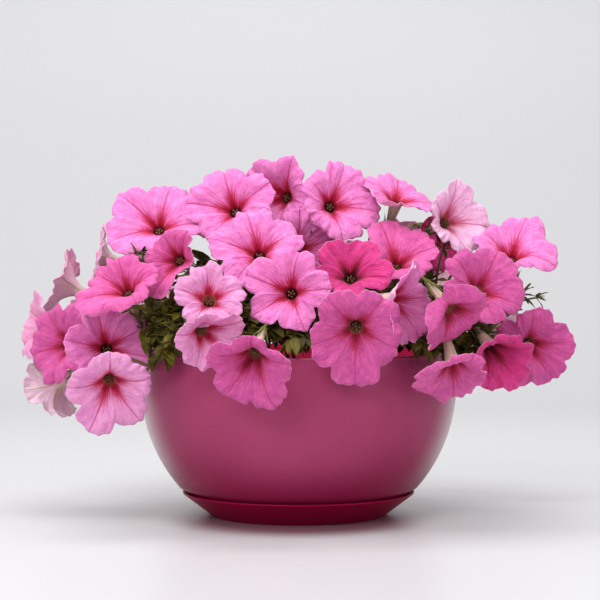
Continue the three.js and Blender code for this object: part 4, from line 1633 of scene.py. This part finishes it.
    def add_tuft(self, stems: BMesh, blades: BMesh, tuft: Tuft,
                 seed: int, clear: Test) -> None:
        """Adds a side shoot with its tuft of leaves.

        Args:
            stems: The mesh of the stems.
            blades: The mesh of the leaves.
            tuft: The tuft.
            seed: The seed of its draws.
            clear: Says whether a place is clear of the flowers' faces.
        """
        dice = random.Random(seed)
        tip, towards = Vector(tuft.tip), Vector(tuft.towards).normalized()
        if tuft.bold:
            clear = anywhere
        start = self.nearest(tip)
        reach = (tip - start).length
        leave = start.lerp(tip, 0.4) + UP * (0.12 * reach)
        path = bezier(start, leave, tip - towards * (0.3 * reach), tip, 7)
        rod(stems, path, lambda s: 1.1 - 0.4 * s, 7)
        axes = facing(tip, towards, dice.uniform(0, 1))
        for k in range(tuft.leaves):
            turn = GOLDEN_ANGLE * k
            inner = k / max(1, tuft.leaves - 1)
            spread = math.radians(mix(tuft.spread * 1.2, tuft.spread * 0.35, inner) + dice.uniform(-8, 8))
            out = axes.right * math.cos(turn) + axes.up * math.sin(turn)
            heading = towards * math.cos(spread) + out * math.sin(spread)
            length = tuft.length * mix(1.0, 0.45, inner) * dice.uniform(0.85, 1.1)
            base = tip - towards * (0.22 * tuft.length * (1 - inner)) + out * 0.5
            self.leaf(blades, base, heading, length, dice, clear, tuft.slim)


@dataclass
class Plant:
    """The whole plant above the soil.

    Attributes:
        flowers: Its flowers.
        tufts: The side shoots that show at the front.
        mound: The half axes of the mound that the inner tufts fill.
        mound_centre: The mound's middle.
        inner_tufts: The number of tufts inside it.
        viewer: The place in front of the plant from which no leaf hides a flower's face.
        shown: The number of flowers that are seen from there, the first ones.
        face_room: How far leaves keep behind and in front of a face.
        face_share: The part of a face's reach that no leaf hides from the viewer.
        wall: The height below which, and the reach within which, no leaf grows through the pot.
        bare_rim: The stretches along X where the rim at the front stays bare.
        rim_sight: The height of the viewer's line of sight over the rim at the axis, and its fall along Y.
        bare_depth: The Y past which leaves may show again over those stretches.
        lowest: The height that the inner tufts keep above the pot's rim.
        leaf_thickness: The thickness of a leaf.
    """

    flowers: tuple[Flower, ...] = FLOWERS
    tufts: tuple[Tuft, ...] = FRONT_TUFTS
    mound: Triple = (150, 112, 74)
    mound_centre: Triple = (0, 6, 140)
    inner_tufts: int = 74
    viewer: Vector = field(default_factory=lambda: Vector((1.2, -1520, 205.6)))
    shown: int = 32
    face_room: Pair = (4, 12)
    face_share: float = 0.86
    wall: Pair = (116, 128)
    bare_rim: tuple[Pair, ...] = ((-34, 26), (66, 84))
    rim_sight: Pair = (134.6, 0.0463)
    bare_depth: float = 124
    lowest: float = 138
    leaf_thickness: float = 0.4

    def __post_init__(self) -> None:
        """Keeps each flower's axes, cup and reach, for the leaves that grow round them."""
        self.faces = [(bloom.axes, bloom.cup, sum(reach for _, reach in bloom.lobes) / LOBES + 1)
                      for bloom in self.flowers]

    def clear(self, place: Vector) -> bool:
        """Looks whether a leaf may reach a place.

        Args:
            place: The place.

        Returns:
            Whether it is clear of the flowers' faces, the pot's wall and the bare stretches of its rim.
        """
        behind, before = self.face_room
        sight = place - self.viewer
        for number, (axes, cup, reach) in enumerate(self.faces, 1):
            x, y, z = axes.local(place)
            away = math.hypot(x, y)
            if away < reach and mix(-behind, cup, away / reach) - behind < z < before:
                return False
            slope = sight.dot(axes.forward)
            if number > self.shown or slope > -1:
                continue
            middle = axes.at(0, 0, 0.6 * cup)
            share = (middle - self.viewer).dot(axes.forward) / slope
            if share > 1 and (self.viewer + sight * share - middle).length < self.face_share * reach:
                return False
        if place.z < self.wall[0] and math.hypot(place.x, place.y) < self.wall[1]:
            return False
        if not any(start < place.x < end for start, end in self.bare_rim):
            return True
        return place.z > self.rim_sight[0] - self.rim_sight[1] * place.y or place.y > self.bare_depth

    def build(self) -> None:
        """Builds every flower, shoot and leaf."""
        faces = {look: look.value.face() for look in PetalLook}
        backs = {look: look.value.behind() for look in PetalLook}
        anther = HEART.made()
        stem, leaf, old_leaf = (green.value.made() for green in (Green.STEM, Green.LEAF, Green.OLD_LEAF))
        for number, bloom in enumerate(self.flowers, 1):
            corolla = Corolla(number, bloom)
            corolla.build(faces[bloom.look], backs[bloom.look])
            corolla.heart(anther)
        shoots = [Shoot(number + 1) for number in range(len(STEMS))]
        meshes = [(new_mesh(), new_mesh()) for _ in shoots]
        for seed, tuft in enumerate([*self.tufts, *self.drawn_tufts()], 500):
            tip = Vector(tuft.tip)
            k = min(range(len(shoots)), key=lambda index: (shoots[index].nearest(tip) - tip).length)
            shoots[k].add_tuft(*meshes[k], tuft, seed, self.clear)
        for shoot, (wood, blades) in zip(shoots, meshes):
            shoot.add_stems(wood)
            for number, bloom in enumerate(self.flowers, 1):
                if bloom.shoot == shoot.number:
                    shoot.add_stalk(wood, bloom.axes, number)
            shoot.add_leaves(blades, self.clear)
            close_up(wood)
            close_up(blades, outwards=False)
            finished(wood, f"stems_{shoot.number:02d}", (stem,), (f"shoot_{shoot.number:02d}",))
            piece = finished(blades, f"leaves_{shoot.number:02d}", (leaf, old_leaf))
            thickened(piece, self.leaf_thickness)

    def drawn_tufts(self) -> list[Tuft]:
        """Draws the tufts that fill the mound between the flowers.

        Returns:
            The tufts, from the top of the mound downwards.
        """
        dice = random.Random(11)
        tufts = []
        for k in range(self.inner_tufts):
            rise = 1 - 1.02 * (k + 0.5) / self.inner_tufts
            ring = math.sqrt(max(0.0, 1 - rise * rise))
            turn = GOLDEN_ANGLE * k
            out = Vector((ring * math.cos(turn), ring * math.sin(turn), rise))
            size = dice.uniform(0.72, 1.0)
            tip = Vector([c + size * a * o for c, a, o in zip(self.mound_centre, self.mound, out)])
            if tip.z < self.lowest and math.hypot(tip.x, tip.y) < self.wall[1]:
                tip.z = self.lowest
            towards = (out + Vector((0, 0, 0.25))).normalized()
            tufts.append(Tuft(tuple(tip), tuple(towards), 6, dice.uniform(26, 38), 66))
        return tufts


# The pot


@dataclass
class Pot:
    """The bowl, its saucer and the soil.

    Attributes:
        sphere_radius: The radius of the bowl's outside.
        sphere_height: The height of that sphere's middle.
        wall: The bowl's wall thickness.
        lip: The radius of its rounded lip.
        rim_height: The height of the bowl's rim.
        heel: The (radius, height) where its wall meets its underside.
        underside: Those of the step in its underside.
        foot_radius: The radius of its flat floor.
        foot_height: The height of that floor's lower side.
        hole_count: The number of its drain holes.
        hole_radius: Their radius.
        hole_circle: The radius of the circle that they stand on.
        saucer_foot: The radius of the saucer's flat foot.
        saucer_edge: The (radius, height) where its flared wall meets its rolled lip.
        soil_floor: The radius and the height of the soil's flat underside.
        soil_low: The height where the soil's side begins.
        soil_edge: The height of its surface at the wall.
        soil_top: Its height inside.
        soil_gap: The gap between the soil and the wall.
        crumbs: The number of loose crumbs on it.
        crumb_reach: How far from the axis they lie.
        segments: The steps of a full turn.
    """

    sphere_radius: float = 126
    sphere_height: float = 105
    wall: float = 3
    lip: float = 1.5
    rim_height: float = 131
    heel: Pair = (90.2, 19.6)
    underside: Pair = (84, 14)
    foot_radius: float = 62
    foot_height: float = 2.7
    hole_count: int = 5
    hole_radius: float = 5
    hole_circle: float = 40
    saucer_foot: float = 69
    saucer_edge: Pair = (92.2, 17.2)
    soil_floor: Pair = (61, 6.1)
    soil_low: float = 24
    soil_edge: float = 112
    soil_top: float = 116.5
    soil_gap: float = 0.3
    crumbs: int = 260
    crumb_reach: float = 118
    segments: int = 160

    def meridian(self, low: float, high: float, inset: float, count: int) -> Outline:
        """Returns points of the bowl's wall from one height to another, drawn in by an inset."""
        angles = [math.degrees(math.asin((height - self.sphere_height) / self.sphere_radius))
                  for height in (low, high)]
        return arc((0, self.sphere_height), self.sphere_radius - inset, *angles, count)

    def bowl(self, material: Material, lining: Material) -> Piece:
        """Builds the bowl with its rounded lip and its drain holes.

        Args:
            material: Its material outside.
            lining: Its material inside.

        Returns:
            The piece.
        """
        floor = self.foot_height + self.wall
        outside, inside = (self.meridian(self.heel[1] + 3, self.rim_height - 1.6, inset, 44)
                           for inset in (0, self.wall))
        lip_middle = ((outside[-1][0] + inside[-1][0]) / 2, self.rim_height - self.lip)
        profile = [
            (self.foot_radius, self.foot_height),
            (self.underside[0] - 1.5, self.underside[1] - 0.8),
            (self.underside[0] + 0.6, self.underside[1] + 0.6),
            (self.heel[0] - 0.6, self.heel[1] - 0.6),
            (self.heel[0] + 0.9, self.heel[1] + 0.8),
            *outside,
            *arc(lip_middle, self.lip, 0, 180, 8),
            *reversed(inside),
            (self.heel[0] - self.wall, self.heel[1] + self.wall),
            (self.foot_radius, floor),
        ]
        bm = new_mesh()
        turned(bm, profile, self.segments)
        self.drilled_floor(bm, floor)
        close_up(bm)
        middle = Vector((0, 0, self.sphere_height)) * MM
        for face in bm.faces:
            place = face.calc_center_median()
            if place.z > 0.02 and (place - middle).length < (self.sphere_radius - 0.6 * self.wall) * MM:
                face.material_index = 1
        return finished(bm, "bowl", (material, lining), ("pot_bowl",), 40)

    def drilled_floor(self, bm: BMesh, height: float) -> None:
        """Closes the bowl's floor, with its round drain holes.

        Args:
            bm: The bowl's mesh.
            height: The height of the floor's upper side.
        """
        rings = []
        for level in (height, self.foot_height):
            at = Matrix.Translation((0, 0, level * MM))
            made = bmesh.ops.create_circle(bm, segments=self.segments, radius=self.foot_radius * MM,
                                           matrix=at)
            edges = [*{edge for vert in made["verts"] for edge in vert.link_edges}]
            holes = []
            for k in range(self.hole_count):
                angle = FULL_TURN * k / self.hole_count
                middle = Vector((math.cos(angle), math.sin(angle), 0)) * (self.hole_circle * MM)
                made = bmesh.ops.create_circle(bm, segments=24, radius=self.hole_radius * MM,
                                               matrix=Matrix.Translation(middle) @ at)
                holes.append(list({edge for vert in made["verts"] for edge in vert.link_edges}))
                edges += holes[-1]
            bmesh.ops.triangle_fill(bm, edges=edges, use_beauty=True)
            rings.append(holes)
        for upper, lower in zip(*rings):
            bmesh.ops.bridge_loops(bm, edges=[*upper, *lower])

    def saucer(self, material: Material) -> Piece:
        """Builds the drip saucer: a flat foot, a flared wall with a rolled lip, and its inside.

        Args:
            material: Its material.

        Returns:
            The piece.
        """
        foot, (edge, height) = self.saucer_foot, self.saucer_edge
        bm = new_mesh()
        turned(bm, [(0, 0), (foot, 0), *arc((foot + 0.4, 1.2), 1.2, -90, -40, 4),
                    (edge, height), *arc((edge - 0.4, height + 0.8), 0.9, -30, 150, 8), (90.4, 17.6),
                    (71.8, 3.4), (69.8, 2.4), (0, 2.4)], self.segments)
        close_up(bm)
        return finished(bm, "saucer", (material,), ("drip_saucer",), 40)

    def soil(self, material: Material) -> Piece:
        """Builds the crumbly soil.

        Args:
            material: Its material.

        Returns:
            The piece.
        """
        bm = new_mesh()
        wall = self.meridian(self.soil_low, self.soil_edge, self.wall + self.soil_gap, 16)
        rings = [(mix(wall[-1][0], 0, k / 40), mix(self.soil_edge, self.soil_top, ease(k / 40, 0, 0.6)))
                 for k in range(1, 41)]
        turned(bm, [(0, self.soil_floor[1]), self.soil_floor, *wall, *rings], 128)
        for vert in bm.verts:
            if vert.co.z > (self.soil_edge - 0.1) * MM:
                rough = noise.fractal(vert.co * 90, 0.6, 2.0, 4)
                vert.co.z += 0.0022 * rough + 0.0006 * noise.noise(vert.co * 420)
        close_up(bm)
        # without a seed the crumbs' noise differs from run to run
        noise.seed_set(1)
        dice = random.Random(3)
        for _ in range(self.crumbs):
            turn, ring = dice.uniform(0, FULL_TURN), self.crumb_reach * math.sqrt(dice.random())
            height = mix(self.soil_top, self.soil_edge + 0.6, ring / self.crumb_reach)
            at = Vector((ring * math.cos(turn), ring * math.sin(turn), height)) * MM
            made = bmesh.ops.create_icosphere(bm, subdivisions=1, radius=dice.uniform(0.9, 2.6) * MM,
                                              matrix=Matrix.Translation(at), calc_uvs=True)
            for vert in made["verts"]:
                vert.co += 0.0005 * noise.noise_vector(vert.co * 900)
        return finished(bm, "soil", (material,), ("potting_soil",))

    def build(self) -> None:
        """Builds the pot's pieces."""
        self.bowl(POT.made(), LINING.made())
        self.saucer(SAUCER.made())
        self.soil(SOIL.made())
        bark = BARK.made()
        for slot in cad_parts["crown_root"].material_slots:
            slot.material = bark
        log.info("crown_root: dressed as bark")


# The studio


@dataclass(frozen=True)
class Lamp:
    """A soft rectangular light.

    Attributes:
        name: Its name.
        place: Its place, in metres.
        size: Its width and height, in metres.
        power: Its power, in watts.
        target: The point that it looks at, in metres.
    """

    name: str
    place: Triple
    size: Pair
    power: float
    target: Triple = (0, 0, 0.15)

    def build(self) -> None:
        """Adds the light to the scene."""
        light = bpy.data.lights.new(self.name, "AREA")
        light.shape = "RECTANGLE"
        light.size, light.size_y = self.size
        light.energy = self.power
        lamp = bpy.data.objects.new(self.name, light)
        lamp.location = self.place
        aim = Vector(self.target) - Vector(self.place)
        lamp.rotation_euler = aim.to_track_quat("-Z", "Y").to_euler()
        bpy.context.scene.collection.objects.link(lamp)


LAMPS = (
    Lamp("softbox_top", (-0.2, -0.3, 1.6), (1.3, 1.1), 16),
    Lamp("softbox_front", (-0.7, -1.9, 1.4), (0.8, 0.6), 15),
    Lamp("softbox_left", (-1.4, -1.2, 0.9), (1.0, 1.4), 8.5),
    Lamp("softbox_right", (1.5, -1.2, 0.9), (1.0, 1.4), 9),
    Lamp("softbox_back", (0, 0.3, 2.3), (2.4, 0.8), 20, (0, 2.1, 0.7)),
)
# the paper's own greys, and a pink painted shadow round the pot's foot, in place of the shade and the red
# light that the pot casts on it
PAPER = (colour(208, 208, 210), colour(211, 211, 213))
PAINTED_FOOT_SHADOW = colour(140, 100, 112)


@dataclass
class Studio:
    """The floor, the lights and the camera.

    Attributes:
        camera_place: The camera's place, in metres.
        camera_tilt: How far the camera looks down, in degrees.
        lens: Its focal length, in millimetres.
        sensor: Its sensor's width, in millimetres.
        air: The strength of the light from all round.
        paper_run: Where the paper starts and how long it runs back from the axis, in millimetres.
        paper_half: Half its width, in millimetres.
        paper_turn: Where it turns up into the backdrop, in millimetres behind the axis.
        paper_bend: The radius of that turn.
    """

    camera_place: Triple = (0.0012, -1.520, 0.2056)
    camera_tilt: float = 1.296
    lens: float = 114
    sensor: float = 36
    air: float = 0.5
    paper_run: Pair = (-2500, 4200)
    paper_half: float = 3200
    paper_turn: float = 1100
    paper_bend: float = 900

    def paper_finish(self) -> Material:
        """Makes the pale paper, which a view from behind looks through.

        Returns:
            The material.
        """
        material, w, shader = begun("studio_paper")
        place = w.node("TexCoord").outputs["Object"]
        marks = Speckle.placed(w, {"Place": place, "Grain": 300.0, "Cloud": 1.5})
        tone = w.blend(marks["Cloud"], *PAPER)
        x, y, _ = w.node("SeparateXYZ", {0: place}).outputs
        y = w.plus(y, 0.03)
        away = w.maths("SQRT", w.plus(w.times(x, x), w.times(y, y)))
        # painted shadow: a pink ring round the saucer, a little in front of the axis, in place of the pot's
        # contact shadow and red bounce
        tone = w.blend(w.step(away, 0.066, 0.114, 1, 0), tone, PAINTED_FOOT_SHADOW)
        reverse = w.node("NewGeometry").outputs["Backfacing"]
        w.feed(shader, {"Base Color": tone, "Roughness": 0.36, "Specular IOR Level": 0.3,
                        "Alpha": w.minus(1.0, reverse)})
        return material

    def paper_place(self, u: float, v: float) -> Vector:
        """Shapes the paper: a flat floor, a bend and an upright backdrop.

        Args:
            u: The share of its width.
            v: The share of its length.

        Returns:
            The place there, in millimetres.
        """
        run, bend = mix(*self.paper_run, v), self.paper_bend
        turn = min(max((run - self.paper_turn) / bend, 0), math.pi / 2)
        rest = max(run - self.paper_turn - bend * math.pi / 2, 0)
        back = min(run, self.paper_turn) + bend * math.sin(turn)
        return Vector((mix(-self.paper_half, self.paper_half, u), back, bend * (1 - math.cos(turn)) + rest))

    def floor(self) -> None:
        """Builds the paper."""
        material = self.paper_finish()
        bm = new_mesh()
        sheet(bm, 24, 96, self.paper_place)
        mesh = bpy.data.meshes.new("studio_paper")
        for face in bm.faces:
            face.smooth = True
        bm.to_mesh(mesh)
        bm.free()
        mesh.materials.append(material)
        backdrop = bpy.data.objects.new("studio_paper", mesh)
        bpy.context.scene.collection.objects.link(backdrop)

    def camera(self) -> None:
        """Sets up the camera at the photograph's angle."""
        camera = bpy.data.cameras.new("camera")
        camera.lens = self.lens
        camera.sensor_width = self.sensor
        eye = bpy.data.objects.new("camera", camera)
        eye.location = self.camera_place
        eye.rotation_euler = (math.radians(90 - self.camera_tilt), 0, 0)
        bpy.context.scene.collection.objects.link(eye)
        bpy.context.scene.camera = eye

    def build(self) -> None:
        """Sets up the whole studio."""
        self.floor()
        for lamp in LAMPS:
            lamp.build()
        scene = bpy.context.scene
        world = bpy.data.worlds.new("studio_air")
        world.use_nodes = True
        background = world.node_tree.nodes["Background"]
        background.inputs["Color"].default_value = (1, 1, 1, 1)
        background.inputs["Strength"].default_value = self.air
        scene.world = world
        scene.view_settings.view_transform = "Standard"
        scene.view_settings.look = "None"
        self.camera()


def main() -> None:
    """Builds the potted plant and its studio."""
    logging.basicConfig(level=logging.INFO, format="%(name)s: %(message)s")
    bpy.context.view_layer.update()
    for part in (Studio(), Pot(), Plant()):
        log.info("building the %s", type(part).__name__.lower())
        part.build()


if __name__ == "__main__":
    main()
